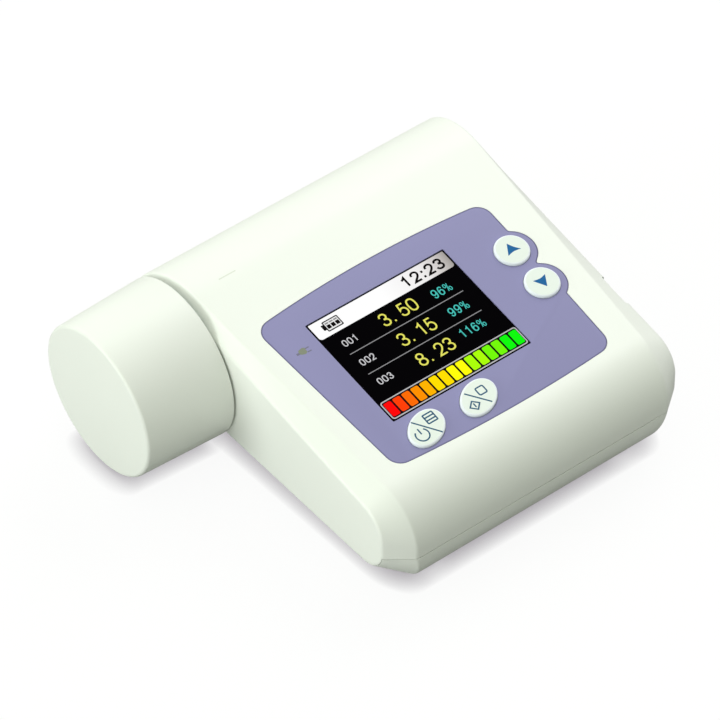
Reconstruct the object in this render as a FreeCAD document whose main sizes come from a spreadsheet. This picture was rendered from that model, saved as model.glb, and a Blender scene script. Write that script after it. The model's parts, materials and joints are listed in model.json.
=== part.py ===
import FreeCAD, Part
import math
import os
import Sketcher

# Handheld electronic spirometer, millimetres. The tube hump runs along X at the back,
# the screen panel lies on the slope in front of it, and the unit stands on its flat base.
# Origin: middle of the footprint, on the surface that it stands on.

SIZES = [
    # Overall form, seen from the side
    ("overall_length", 97.7, "end of the cap to the right end face"),
    ("overall_height", 36.0, "the tube hump is a full round of this diameter"),
    ("overall_depth", 86.9, "back of the hump to the front face"),
    ("top_slope", 10.4, "degrees, slope of the screen panel"),
    ("nose_radius", 12.0, "rounding from the slope to the front"),
    ("front_flat", 2.457, "straight part of the front, over the rounding to the base"),
    ("wall", 2.0, "moulded wall of the housing"),
    ("parting_height", 11.2, "height of the line between the two shells"),
    # End faces and the bevel band round them
    ("housing_width", 76.1, "end face to end face"),
    ("bevel_reach", 1.6, "length of the bevel at the hump"),
    ("end_taper", 3.4, "degrees, the bevel widens towards the front"),
    ("end_round_inset", 3.45, "round of the flat end face inside the hump"),
    ("end_slope", 9.8, "degrees, top edge of the flat end face"),
    ("end_front_inset", 4.3, "front of the flat end face behind the front"),
    ("end_nose_radius", 6.6, "upper front corner of the flat end face"),
    ("end_front_flat", 3.25, "straight front of the flat end face"),
    ("end_base_height", 6.8, "lower edge of the flat end face"),
    ("end_plate", 2.4, "the upper shell's end plates reach the base"),
    ("end_plate_play", 0.1, "lower cover to the end plates"),
    ("bevel_run_out", 0.15, "share of the bevel by which its form passes the outer surface"),
    ("cavity_inset", 1.3, "cavity behind the bevel's inner edge"),
    # Screen panel, from the middle of the screen
    ("screen_inset", 33.47, "middle of the screen from the left end face"),
    ("screen_to_nose", 25.01, "middle of the screen to the start of the nose"),
    ("screen_width", 35.0, "lit area"),
    ("screen_height", 28.0, "lit area"),
    ("screen_border", 0.15, "black border round the lit area"),
    ("screen_ledge", 0.5, "ledge under the edge of the window"),
    ("overlay_depth", 0.5, "film and its recess"),
    ("trim_gap", 0.08, "gap round a film, lens or light pipe"),
    ("overlay_left", 26.92, "upper left corner"),
    ("overlay_left_low", 23.72, "lower left corner"),
    ("overlay_right", 31.58, "upper right corner"),
    ("overlay_right_low", 31.38, "lower right corner"),
    ("overlay_top", 18.94, "upper corners"),
    ("overlay_base", 23.65, "lower corners"),
    ("overlay_crown_radius", 265.0, "curve of the upper edge"),
    ("overlay_foot_radius", 350.0, "curve of the lower edge"),
    ("overlay_corner", 3.3, "corner rounding"),
    ("film_margin", 3.0, "stock beyond the film's curved edges"),
    ("overlay_lobe", 5.05, "round lobes about the two arrow buttons"),
    ("lobe_aside", 0.23, "middle of a lobe to the right of its button"),
    ("lobe_down", 0.2, "middle of a lobe below its button"),
    # Buttons
    ("up_x", 29.03, ""),
    ("up_y", 6.01, ""),
    ("down_x", 29.08, ""),
    ("down_y", -3.76, ""),
    ("power_x", -13.04, ""),
    ("power_y", -19.14, ""),
    ("start_x", 0.32, ""),
    ("start_y", -19.04, ""),
    ("arrow_button_radius", 3.8, "round arrow buttons"),
    ("oval_button_long", 4.95, "half length of the oval buttons"),
    ("oval_button_short", 3.55, "half width of the oval buttons"),
    ("oval_button_tilt", 28.0, "degrees"),
    ("button_rise", 0.6, "top above the panel"),
    ("button_edge", 0.4, "width of the bevelled rim of the top"),
    ("button_edge_height", 0.35, "height of the bevelled rim"),
    ("button_flange", 0.6, "retaining rim width"),
    ("button_flange_height", 0.6, "retaining rim"),
    ("button_travel", 0.5, "press stroke"),
    ("running_gap", 0.05, "radial clearance of what slides or turns"),
    ("switch_gap", 0.05, "play left under a pressed button"),
    # Charge lamp
    ("lamp_side", 4.22, "to the left of the lit area"),
    ("lamp_y", 9.34, ""),
    ("lamp_radius", 1.2, "light pipe"),
    ("lamp_length", 2.8, "soldered lamp under the pipe"),
    ("lamp_width", 2.0, ""),
    ("lamp_height", 1.0, ""),
    # Screen module and boards, depths below the panel
    ("module_margin", 1.5, "screen module beside the lit area"),
    ("module_top", 17.6, "screen module, above the middle of the screen"),
    ("module_base", 14.4, "screen module, below the middle"),
    ("module_glass", 1.2, "glass"),
    ("module_frame", 1.4, "steel frame and backlight"),
    ("board_depth", 5.2, "top face of the main board"),
    ("board_thickness", 1.2, ""),
    ("board_side", 5.8, "board to the left of the lit area"),
    ("board_right", 32.3, ""),
    ("board_top", 18.5, ""),
    ("board_base", -22.5, ""),
    ("post_left", 2.7, "left board posts beside the screen module"),
    ("post_right", 3.2, "right board posts beside the screen module"),
    ("post_left_high", 2.5, ""),
    ("post_right_high", 15.5, ""),
    ("post_low", -15.5, ""),
    ("post_radius", 1.8, ""),
    ("post_bore", 0.8, "pilot hole for the board screws"),
    ("pilot_end", 2.6, "the pilot holes stop at this depth"),
    ("board_hole_play", 0.3, "board holes round the screws"),
    ("board_screw_head", 1.7, "radius"),
    ("board_screw_head_height", 0.8, ""),
    ("processor_side", 9.0, ""),
    ("processor_height", 1.2, ""),
    ("processor_x", -6.0, ""),
    ("processor_y", 3.0, ""),
    ("memory_length", 6.0, ""),
    ("memory_width", 5.0, ""),
    ("memory_height", 1.0, ""),
    ("memory_x", -17.0, ""),
    ("memory_y", 10.0, ""),
    ("regulator_length", 5.0, ""),
    ("regulator_width", 3.5, ""),
    ("regulator_height", 1.4, ""),
    ("regulator_x", 6.0, ""),
    ("regulator_y", -12.0, ""),
    ("switch_side", 5.2, "tact switch body"),
    ("switch_height", 1.5, ""),
    ("plunger_radius", 1.6, ""),
    ("plunger_rise", 0.45, "plunger above its switch"),
    # Power and sound
    ("battery_length", 40.0, ""),
    ("battery_width", 30.0, ""),
    ("battery_thickness", 5.6, ""),
    ("battery_x", 7.6, "middle of the cell from the middle of the screen"),
    ("battery_y", -5.2, ""),
    ("buzzer_radius", 4.5, ""),
    ("buzzer_height", 2.6, ""),
    ("buzzer_x", 14.0, ""),
    ("buzzer_y", -13.0, ""),
    ("socket_width", 7.0, "charging socket mouth"),
    ("socket_height", 2.0, ""),
    ("socket_wall", 0.35, ""),
    ("socket_length", 8.8, ""),
    ("socket_floor", 1.5, "closed inner end"),
    ("socket_y", -12.0, "from the middle of the screen"),
    ("socket_recess", 1.2, "mouth behind the end face"),
    ("socket_play", 0.2, "slot round the socket"),
    ("board_tab", 3.6, "the board reaches out under the socket"),
    ("board_tab_width", 11.0, ""),
    # Case screws and their bosses
    ("boss_radius", 2.7, ""),
    ("boss_bore", 1.1, ""),
    ("boss_seat", 5.0, "the two shells' bosses meet at this height"),
    ("screw_hole", 1.45, ""),
    ("screw_head_radius", 2.3, ""),
    ("screw_head_pocket", 2.6, "radius of the pocket"),
    ("screw_head_depth", 2.4, "pocket depth in the base"),
    ("screw_head_height", 1.4, ""),
    ("screw_length", 7.0, "shank"),
    ("front_boss_inset", 7.15, "from the front"),
    ("front_boss_left", 13.25, "from the left end face"),
    ("front_boss_right", 12.85, "from the right end face"),
    ("back_boss_inset", 19.85, "in front of the tube's middle"),
    ("back_boss_left", 7.35, "from the left end face"),
    ("back_boss_right", 7.25, "from the right end face"),
    # Flow tube
    ("bore_inset", 4.75, "bore of the housing and of the fixed sleeve, inside the hump"),
    ("sleeve_wall", 1.4, ""),
    ("sleeve_ring_width", 2.5, "locating rings of the sleeve"),
    ("sleeve_ring_gap", 0.05, "ring to the inside of the hump"),
    ("turbine_length", 48.0, "turbine tube inside the housing"),
    ("turbine_wall", 1.45, "flow bore inside the housing's bore"),
    ("socket_inset", 4.0, "mouthpiece socket inside the hump"),
    ("neck_inset", 2.7, "outside of the mouthpiece socket inside the hump"),
    ("neck_room", 4.7, "socket's mouth to the closed end of the cap"),
    ("neck_floor", 2.4, "socket's floor from the end face"),
    ("flange_inset", 2.1, "flange that stops on the end face, inside the hump"),
    ("flange_thickness", 1.2, ""),
    ("seal_section", 0.44, "half width of the ring seal's section"),
    ("seal_flat", 0.18, "half width of a flat of its eight sides"),
    ("seal_groove_half", 0.48, "half width of the seal's groove"),
    ("seal_place", 4.0, "from the end face"),
    # Cap
    ("cap_gap", 0.45, "shadow gap between the cap and the end face"),
    ("cap_rim_inset", 0.1, "rim inside the hump's surface"),
    ("cap_end_inset", 1.3, "closed end inside the hump's surface"),
    ("cap_wall", 1.5, ""),
    ("cap_edge", 0.8, "rounding of the closed end"),
    ("cap_inner_draft", 0.35, "the inside narrows less than the outside"),
    ("cap_rib_width", 1.2, "grip ribs inside the cap"),
    ("cap_rib_start", 2.0, "from the rim"),
    ("cap_rib_share", 0.65, "length of the ribs by the socket's length"),
    ("cap_rib_root", 0.8, "the ribs end this far inside the outer wall"),
    ("cap_rib_count", 6, ""),
    # Rotor and swirlers
    ("rotor_place", 26.0, "rotor from the left end face"),
    ("rotor_length", 9.0, "vane along the tube"),
    ("rotor_gap", 0.7, "vane tip to the tube"),
    ("vane_thickness", 0.5, ""),
    ("shaft_radius", 0.5, ""),
    ("shaft_end_gap", 0.2, "shaft end to the hub"),
    ("vane_collar", 0.6, "collar of the vane round the shaft"),
    ("swirler_hub", 2.6, "hub radius"),
    ("swirler_length", 8.0, "blades along the tube"),
    ("swirler_pitch", 36.0, "degrees, blades to the tube's line"),
    ("swirler_blades", 6, ""),
    ("blade_thickness", 0.8, ""),
    ("blade_root", 0.4, "the blades start this far inside the hub"),
    ("swirler_rim", 0.7, "outer ring of a swirler"),
    ("swirler_space", 2.6, "rotor vane to the hubs"),
    ("bearing_radius", 1.2, "jewel cup"),
    ("bearing_length", 1.6, ""),
    # Light gate
    ("gate_inset", 3.35, "light beam inside the bore's front"),
    ("gate_radius", 1.5, "emitter and receiver body"),
    ("gate_length", 3.4, ""),
    ("gate_boss_wall", 0.9, "boss round each light port of the sleeve"),
    ("gate_stand", 0.6, "emitter and receiver stand out of their bosses"),
    ("gate_setback", 0.1, "emitter and receiver stay outside the bore"),
    ("sensor_board_length", 14.0, ""),
    ("sensor_board_height", 13.0, ""),
    ("sensor_board_thickness", 1.0, ""),
    ("sensor_board_drop", 8.0, "its lower edge below the tube's middle"),
    # Outlet
    ("grille_thickness", 2.0, ""),
    ("grille_hub", 2.6, ""),
    ("grille_rim", 1.5, ""),
    ("grille_spokes", 8, ""),
    ("grille_spoke_width", 1.2, ""),
    ("grille_ring_radius", 7.4, ""),
    ("grille_ring_width", 1.0, ""),
    ("grille_root", 0.4, "the spokes end this far inside the rim"),
]

LAYOUT = [
    # Derived places, each from the sizes above
    ("tube_radius", "Sizes.overall_height / 2"),
    ("tube_y", "Sizes.overall_depth / 2 - tube_radius"),
    ("tube_z", "tube_radius"),
    ("front_reach", "Sizes.overall_depth - tube_radius"),
    ("end_right", "Sizes.overall_length / 2"),
    ("end_left", "end_right - Sizes.housing_width"),
    ("cap_end", "-end_right"),
    ("cap_length", "end_left - Sizes.cap_gap - cap_end"),
    ("slope_sin", "sin(Sizes.top_slope)"),
    ("slope_cos", "cos(Sizes.top_slope)"),
    ("top_run", "((Sizes.nose_radius - tube_radius) * slope_sin + front_reach - Sizes.nose_radius) / slope_cos"),
    ("nose_height", "tube_z + (tube_radius - Sizes.nose_radius) * slope_cos - top_run * slope_sin"),
    ("heel_radius", "nose_height - Sizes.front_flat"),
    ("end_sin", "sin(Sizes.end_slope)"),
    ("end_cos", "cos(Sizes.end_slope)"),
    ("end_round_radius", "tube_radius - Sizes.end_round_inset"),
    ("end_reach", "front_reach - Sizes.end_front_inset"),
    ("end_run", "((Sizes.end_nose_radius - end_round_radius) * end_sin + end_reach"
     " - Sizes.end_nose_radius) / end_cos"),
    ("end_nose_height", "tube_z + (end_round_radius - Sizes.end_nose_radius) * end_cos - end_run * end_sin"),
    ("end_heel_radius", "end_nose_height - Sizes.end_base_height - Sizes.end_front_flat"),
    ("screen_x", "end_left + Sizes.screen_inset"),
    ("screen_down", "top_run - Sizes.screen_to_nose"),
    ("panel_y", "tube_y - tube_radius * slope_sin - screen_down * slope_cos"),
    ("panel_z", "tube_z + tube_radius * slope_cos - screen_down * slope_sin"),
    ("lamp_x", "-Sizes.screen_width / 2 - Sizes.lamp_side"),
    ("module_width", "Sizes.screen_width + 2 * Sizes.module_margin"),
    ("board_left", "-Sizes.screen_width / 2 - Sizes.board_side"),
    ("post_left_x", "-module_width / 2 - Sizes.post_left"),
    ("post_right_x", "module_width / 2 + Sizes.post_right"),
    ("front_boss_y", "tube_y - front_reach + Sizes.front_boss_inset"),
    ("back_boss_y", "tube_y - Sizes.back_boss_inset"),
    ("front_boss_left", "end_left + Sizes.front_boss_left"),
    ("front_boss_right", "end_right - Sizes.front_boss_right"),
    ("back_boss_left", "end_left + Sizes.back_boss_left"),
    ("back_boss_right", "end_right - Sizes.back_boss_right"),
    ("bore_radius", "tube_radius - Sizes.bore_inset"),
    ("flow_radius", "bore_radius - Sizes.turbine_wall"),
    ("socket_radius", "tube_radius - Sizes.socket_inset"),
    ("neck_radius", "tube_radius - Sizes.neck_inset"),
    ("flange_radius", "tube_radius - Sizes.flange_inset"),
    ("neck_length", "end_left - cap_end - Sizes.cap_wall - Sizes.neck_room"),
    ("cap_rim_radius", "tube_radius - Sizes.cap_rim_inset"),
    ("cap_end_radius", "tube_radius - Sizes.cap_end_inset"),
    ("gate_offset", "bore_radius - Sizes.gate_inset"),
    ("film_length", "Sizes.overlay_top + Sizes.overlay_base"),
    ("film_left_lean", "(Sizes.overlay_left - Sizes.overlay_left_low) / film_length"),
    ("film_right_lean", "(Sizes.overlay_right - Sizes.overlay_right_low) / film_length"),
    ("crown_centre", "Sizes.overlay_top - sqrt(Sizes.overlay_crown_radius ^ 2"
     " - ((Sizes.overlay_left + Sizes.overlay_right) / 2) ^ 2)"),
    ("foot_centre", "sqrt(Sizes.overlay_foot_radius ^ 2"
     " - ((Sizes.overlay_left_low + Sizes.overlay_right_low) / 2) ^ 2) - Sizes.overlay_base"),
    ("sleeve_left", "end_left + Sizes.bevel_reach + Sizes.cavity_inset"),
    ("sleeve_right", "end_right - Sizes.bevel_reach - Sizes.cavity_inset"),
    ("rotor_x", "end_left + Sizes.rotor_place"),
    ("vane_radius", "flow_radius - Sizes.rotor_gap"),
    ("button_seat", "Sizes.wall + Sizes.running_gap"),
    ("stem_end", "Sizes.board_depth - Sizes.switch_height - Sizes.plunger_rise - Sizes.switch_gap"
     " - Sizes.button_travel"),
    ("board_base_depth", "Sizes.board_depth + Sizes.board_thickness"),
    ("gate_reach", "sqrt(bore_radius ^ 2 - (gate_offset - Sizes.gate_radius) ^ 2)"
     " + Sizes.gate_setback"),
    ("bevel_share", "1 + Sizes.bevel_run_out"),
    ("run_out_taper", "atan(bevel_share * tan(Sizes.end_taper)) / 1 deg"),
    ("run_out_radius", "end_round_radius + bevel_share * (tube_radius - end_round_radius)"),
    ("run_out_slope", "Sizes.end_slope + bevel_share * (Sizes.top_slope - Sizes.end_slope)"),
    ("run_out_reach", "(front_reach + Sizes.bevel_run_out * Sizes.end_front_inset) / cos(run_out_taper)"),
    ("run_out_nose", "Sizes.end_nose_radius + bevel_share * (Sizes.nose_radius - Sizes.end_nose_radius)"),
    ("run_out_heel", "end_heel_radius + bevel_share * (heel_radius - end_heel_radius)"),
]

doc = FreeCAD.newDocument("Spirometer")
sheet = doc.addObject("Spreadsheet::Sheet", "Sizes")
for row, (alias, value, note) in enumerate(SIZES, start=1):
    sheet.set("A%d" % row, alias)
    sheet.set("B%d" % row, str(value))
    sheet.set("C%d" % row, note)
    sheet.setAlias("B%d" % row, alias)
doc.recompute()

layout = doc.addObject("App::VarSet", "Layout")
for name, formula in LAYOUT:
    layout.addProperty("App::PropertyFloat", name)
for name, formula in LAYOUT:
    layout.setExpression(name, formula)
layout.addProperty("App::PropertyFloat", "reading")
doc.recompute()


def size(name):
    """Value of a driving dimension or of a derived place."""
    return getattr(sheet, name) if hasattr(sheet, name) else getattr(layout, name)


def number(formula):
    """Value of a formula on the sizes."""
    layout.setExpression("reading", formula)
    layout.recompute()
    return layout.reading


def vec(x, y, z=0.0):
    return FreeCAD.Vector(x, y, z)


def bind(target, **formulas):
    """Tie properties to formulas; a double underscore in a name stands for a dot."""
    for name, formula in formulas.items():
        target.setExpression(name.replace("__", "."), formula)
    return target


def place(target, x="0", y="0", z="0"):
    return bind(target, Placement__Base__x=x, Placement__Base__y=y, Placement__Base__z=z)


def place_on_panel(target, x="0", y="0", z="0"):
    """Place in the panel's frame: x right, y up the slope, z out of the panel, from the screen's middle."""
    target.Placement.Rotation = FreeCAD.Rotation(vec(1, 0, 0), size("top_slope"))
    bind(target, Placement__Rotation__Angle="Sizes.top_slope * 1 deg")
    return place(target,
                 "Layout.screen_x + (%s)" % x,
                 "Layout.panel_y + (%s) * Layout.slope_cos - (%s) * Layout.slope_sin" % (y, z),
                 "Layout.panel_z + (%s) * Layout.slope_sin + (%s) * Layout.slope_cos" % (y, z))


def add(kind, name, **formulas):
    return bind(doc.addObject(kind, name), **formulas)


def fuse(name, shapes):
    result = doc.addObject("Part::MultiFuse", name)
    result.Shapes = shapes
    return result


def cut(name, base, tool):
    result = doc.addObject("Part::Cut", name)
    result.Base = base
    result.Tool = tool
    return result


def common(name, shapes):
    result = doc.addObject("Part::MultiCommon", name)
    result.Shapes = shapes
    return result


def group(name, shapes):
    result = doc.addObject("Part::Compound", name)
    result.Links = shapes
    return result


def extrude(name, base, length, back="0", direction=vec(0, 0, 1)):
    result = doc.addObject("Part::Extrusion", name)
    result.Base = base
    result.DirMode = "Custom"
    result.Dir = direction
    result.Solid = True
    return bind(result, LengthFwd=length, LengthRev=back)


def along_x(target):
    """Turn a cylinder's own axis from Z to X."""
    target.Placement.Rotation = FreeCAD.Rotation(vec(0, 1, 0), 90)
    return target


def tube_cylinder(name, radius, start, length):
    """A cylinder on the flow tube's axis."""
    result = along_x(add("Part::Cylinder", name, Radius=radius, Height=length))
    return place(result, start, "Layout.tube_y", "Layout.tube_z")


def drive(sketch, formula, kind, *places):
    """Add a dimension to a sketch and tie it to a formula."""
    index = sketch.addConstraint(Sketcher.Constraint(kind, *places, number(formula)))
    sketch.setExpression("Constraints[%d]" % index, formula)


def set_point(sketch, edge, point, x, y):
    """Fix a sketch point from the sketch's origin by two formulas."""
    drive(sketch, x, "DistanceX", edge, point)
    drive(sketch, y, "DistanceY", edge, point)


def polygon(sketch, points):
    """Closed outline of straight edges through points that are given as formulas."""
    count = len(points)
    corners = [vec(number(x), number(y)) for x, y in points]
    for index in range(count):
        sketch.addGeometry(Part.LineSegment(corners[index], corners[(index + 1) % count]))
    for index in range(count):
        sketch.addConstraint(Sketcher.Constraint("Coincident", index, 2, (index + 1) % count, 1))
    for index, (x, y) in enumerate(points):
        set_point(sketch, index, 1, x, y)


def body_sketch(body, name, role="XY_Plane"):
    sketch = body.newObject("Sketcher::SketchObject", name)
    plane = [feature for feature in body.Origin.OriginFeatures if feature.Role == role][0]
    sketch.AttachmentSupport = [(plane, "")]
    sketch.MapMode = "FlatFace"
    return sketch


def turned(name, points):
    """A piece turned about the flow tube's axis; points are (place along X, radius)."""
    body = doc.addObject("PartDesign::Body", name)
    sketch = body_sketch(body, name + "_profile")
    polygon(sketch, points)
    turning = body.newObject("PartDesign::Revolution", name + "_turning")
    turning.Profile = sketch
    turning.ReferenceAxis = (sketch, ["H_Axis"])
    turning.Angle = 360
    return place(body, "0", "Layout.tube_y", "Layout.tube_z")


# Side profile of the housing: hump, slope, nose, front, heel and base
def side_profile(name, radius, slope, reach, nose, heel, base, flat_on_round):
    """Outline in the YZ plane from the tube's axis line. A base at the round's foot runs into it
    smoothly, and a higher one meets it at a corner."""
    tube_z = size("tube_z")
    lean = math.radians(slope)
    sketch = doc.addObject("Sketcher::SketchObject", name)
    tangent = vec(-radius * math.sin(lean), tube_z + radius * math.cos(lean))
    run = (tangent.x + math.sin(lean) * nose + reach - nose) / math.cos(lean)
    nose_start = tangent - vec(math.cos(lean), math.sin(lean)) * run
    nose_centre = nose_start - vec(-math.sin(lean), math.cos(lean)) * nose
    heel_centre = vec(-reach + heel, base + heel)
    foot = vec(-math.sqrt(max(radius ** 2 - (tube_z - base) ** 2, 0.0)), base)
    foot_turn = math.atan2(foot.y - tube_z, foot.x)
    normal = vec(0, 0, 1)
    sketch.addGeometry(Part.ArcOfCircle(Part.Circle(vec(0, tube_z), normal, radius),
                                        foot_turn, math.pi / 2 + lean))
    sketch.addGeometry(Part.LineSegment(tangent, nose_start))
    sketch.addGeometry(Part.ArcOfCircle(Part.Circle(nose_centre, normal, nose), math.pi / 2 + lean, math.pi))
    sketch.addGeometry(Part.LineSegment(vec(-reach, nose_centre.y), vec(-reach, heel_centre.y)))
    sketch.addGeometry(Part.ArcOfCircle(Part.Circle(heel_centre, normal, heel), math.pi, 1.5 * math.pi))
    sketch.addGeometry(Part.LineSegment(vec(heel_centre.x, base), foot))
    round_edge, top_edge, nose_edge, front_edge, heel_edge, base_edge = range(6)
    for first, first_end, second, second_start in (
            (round_edge, 2, top_edge, 1), (top_edge, 2, nose_edge, 1), (nose_edge, 2, front_edge, 1),
            (front_edge, 2, heel_edge, 1), (heel_edge, 2, base_edge, 1)):
        sketch.addConstraint(Sketcher.Constraint("Tangent", first, first_end, second, second_start))
    closing = "Coincident" if flat_on_round else "Tangent"
    sketch.addConstraint(Sketcher.Constraint(closing, base_edge, 2, round_edge, 1))
    return sketch, (round_edge, top_edge, nose_edge, front_edge, heel_edge, base_edge)


def drive_profile(sketch, edges, radius, slope, reach, nose, heel, base=None):
    """Dimensions of a side profile, each tied to a formula."""
    round_edge, top_edge, nose_edge, front_edge, heel_edge, base_edge = edges
    set_point(sketch, round_edge, 3, "0", "Layout.tube_z")
    drive(sketch, radius, "Radius", round_edge)
    drive(sketch, nose, "Radius", nose_edge)
    drive(sketch, heel, "Radius", heel_edge)
    lean = math.pi + math.radians(number(slope))
    index = sketch.addConstraint(Sketcher.Constraint("Angle", top_edge, lean))
    sketch.setExpression("Constraints[%d]" % index, "180 deg + (%s) * 1 deg" % slope)
    sketch.addConstraint(Sketcher.Constraint("Vertical", front_edge))
    drive(sketch, "-(%s)" % reach, "DistanceX", front_edge, 1)
    sketch.addConstraint(Sketcher.Constraint("Horizontal", base_edge))
    if base:
        drive(sketch, base, "DistanceY", base_edge, 2)
    return sketch


def stand_up(sketch, x, taper=0):
    """Stand a profile upright across X, turned about the upright line by the taper."""
    upright = FreeCAD.Rotation(vec(0, 1, 0), vec(0, 0, 1), vec(1, 0, 0), "XYZ")
    sketch.Placement.Rotation = FreeCAD.Rotation(vec(0, 0, 1), taper).multiply(upright)
    return place(sketch, x, "Layout.tube_y", "0")


def housing_section(name, x, taper, radius, slope, reach, nose, heel, base="0", flat_on_round=False):
    """One upright section of the housing, with every dimension tied to its formula."""
    sketch, edges = side_profile(name, number(radius), number(slope), number(reach), number(nose),
                                 number(heel), number(base), flat_on_round)
    drive_profile(sketch, edges, radius, slope, reach, nose, heel, base if flat_on_round else None)
    return stand_up(sketch, x, taper)


def outer_profile(name, x):
    return housing_section(name, x, 0, "Layout.tube_radius", "Sizes.top_slope", "Layout.front_reach",
                           "Sizes.nose_radius", "Layout.heel_radius")


def cavity_profile(name, x):
    return housing_section(name, x, 0, "Layout.tube_radius - Sizes.wall", "Sizes.top_slope",
                           "Layout.front_reach - Sizes.wall", "Sizes.nose_radius - Sizes.wall",
                           "Layout.heel_radius - Sizes.wall", "Sizes.wall")


def bevel_profile(name, x, taper):
    """Where the bevel's form has passed the outer surface."""
    return housing_section(name, x, taper, "Layout.run_out_radius", "Layout.run_out_slope",
                           "Layout.run_out_reach", "Layout.run_out_nose", "Layout.run_out_heel",
                           "Layout.tube_z - Layout.run_out_radius")


def end_profile(name, x, grow="0"):
    """The flat end face's outline, or the same outline grown all round."""
    return housing_section(name, x, 0, "Layout.end_round_radius + " + grow, "Sizes.end_slope",
                           "Layout.end_reach + " + grow,
                           "Sizes.end_nose_radius + " + grow, "Layout.end_heel_radius + " + grow,
                           "Sizes.end_base_height - " + grow, True)


def loft(name, sections):
    result = doc.addObject("Part::Loft", name)
    result.Sections = sections
    result.Solid = True
    result.Ruled = True
    return result


# Housing blanks: one profile along the tube, cut by a bevel that widens towards the front
end_left_face = end_profile("end_face_left", "Layout.end_left")
end_right_face = end_profile("end_face_right", "Layout.end_right")
run_out = "Layout.bevel_share * Sizes.bevel_reach"
run_out_taper = size("run_out_taper")
bevel_form = loft("bevel_form", [
    end_left_face,
    bevel_profile("bevel_run_out_left", "Layout.end_left + " + run_out, run_out_taper),
    bevel_profile("bevel_run_out_right", "Layout.end_right - " + run_out, -run_out_taper),
    end_right_face])
outer_run = extrude("outer_run", outer_profile("outer_outline", "Layout.end_left"), "Sizes.housing_width",
                    direction=vec(1, 0, 0))
outer_form = common("outer_form", [outer_run, bevel_form])

cavity_run = extrude("cavity_run", cavity_profile("cavity_outline", "Layout.end_left"), "Sizes.housing_width",
                     direction=vec(1, 0, 0))
cavity_plan = doc.addObject("Sketcher::SketchObject", "cavity_plan")
back_flare = "Layout.tube_radius * tan(Sizes.end_taper)"
front_flare = "Layout.front_reach * tan(Sizes.end_taper)"
polygon(cavity_plan, [
    ("Layout.sleeve_left - " + back_flare, "Sizes.overall_depth / 2"),
    ("Layout.sleeve_left + " + front_flare, "-Sizes.overall_depth / 2"),
    ("Layout.sleeve_right - " + front_flare, "-Sizes.overall_depth / 2"),
    ("Layout.sleeve_right + " + back_flare, "Sizes.overall_depth / 2")])
cavity_form = common("cavity_form", [cavity_run, extrude("cavity_block", cavity_plan, "Sizes.overall_height")])
shell_form = cut("shell_form", outer_form, cavity_form)

below_parting = place(add("Part::Box", "below_parting", Length="Sizes.overall_length",
                          Width="Sizes.overall_depth * 2", Height="Sizes.parting_height * 2"),
                      "-Sizes.overall_length / 2", "-Sizes.overall_depth", "-Sizes.parting_height")
upper_shell = cut("upper_shell", shell_form, below_parting)
lower_shell = common("lower_shell", [shell_form, below_parting])
end_plate_left = extrude("end_plate_left", end_left_face, "Sizes.end_plate", direction=vec(1, 0, 0))
end_plate_right = extrude("end_plate_right", end_right_face, "Sizes.end_plate", direction=vec(-1, 0, 0))
end_plates = fuse("end_plates", [end_plate_left, end_plate_right])
plate_room_left = extrude("plate_room_left", end_profile("plate_room_outline_left", "Layout.end_left",
                                                         "Sizes.end_plate_play"),
                          "Sizes.end_plate + Sizes.end_plate_play", "1", vec(1, 0, 0))
plate_room_right = extrude("plate_room_right", end_profile("plate_room_outline_right", "Layout.end_right",
                                                           "Sizes.end_plate_play"),
                           "Sizes.end_plate + Sizes.end_plate_play", "1", vec(-1, 0, 0))
plate_room = fuse("plate_room", [plate_room_left, plate_room_right])

# Bosses and posts grow from the top wall, trimmed by the outer form
boss_places = [("front_left", "Layout.front_boss_left", "Layout.front_boss_y"),
               ("front_right", "Layout.front_boss_right", "Layout.front_boss_y"),
               ("back_left", "Layout.back_boss_left", "Layout.back_boss_y"),
               ("back_right", "Layout.back_boss_right", "Layout.back_boss_y")]
post_places = [("left_high", "Layout.post_left_x", "Sizes.post_left_high"),
               ("left_low", "Layout.post_left_x", "Sizes.post_low"),
               ("right_high", "Layout.post_right_x", "Sizes.post_right_high"),
               ("right_low", "Layout.post_right_x", "Sizes.post_low")]


def upright(name, radius, x, y, base, height):
    return place(add("Part::Cylinder", name, Radius=radius, Height=height), x, y, base)


def panel_cylinder(name, radius, x, y, depth, height):
    """A cylinder square to the panel, from a depth below it upwards."""
    return place_on_panel(add("Part::Cylinder", name, Radius=radius, Height=height), x, y, "-(%s)" % depth)


upper_bosses = [upright("upper_boss_" + name, "Sizes.boss_radius", x, y, "Sizes.boss_seat",
                        "Sizes.overall_height - Sizes.boss_seat") for name, x, y in boss_places]
posts = [panel_cylinder("post_" + name, "Sizes.post_radius", x, y, "Sizes.board_depth",
                        "Sizes.board_depth - Sizes.wall / 2") for name, x, y in post_places]
boss_stock = common("boss_stock", [outer_form, fuse("boss_rods", upper_bosses)])
upper_blank = fuse("upper_blank", [upper_shell, end_plates, boss_stock] + posts)


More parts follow.
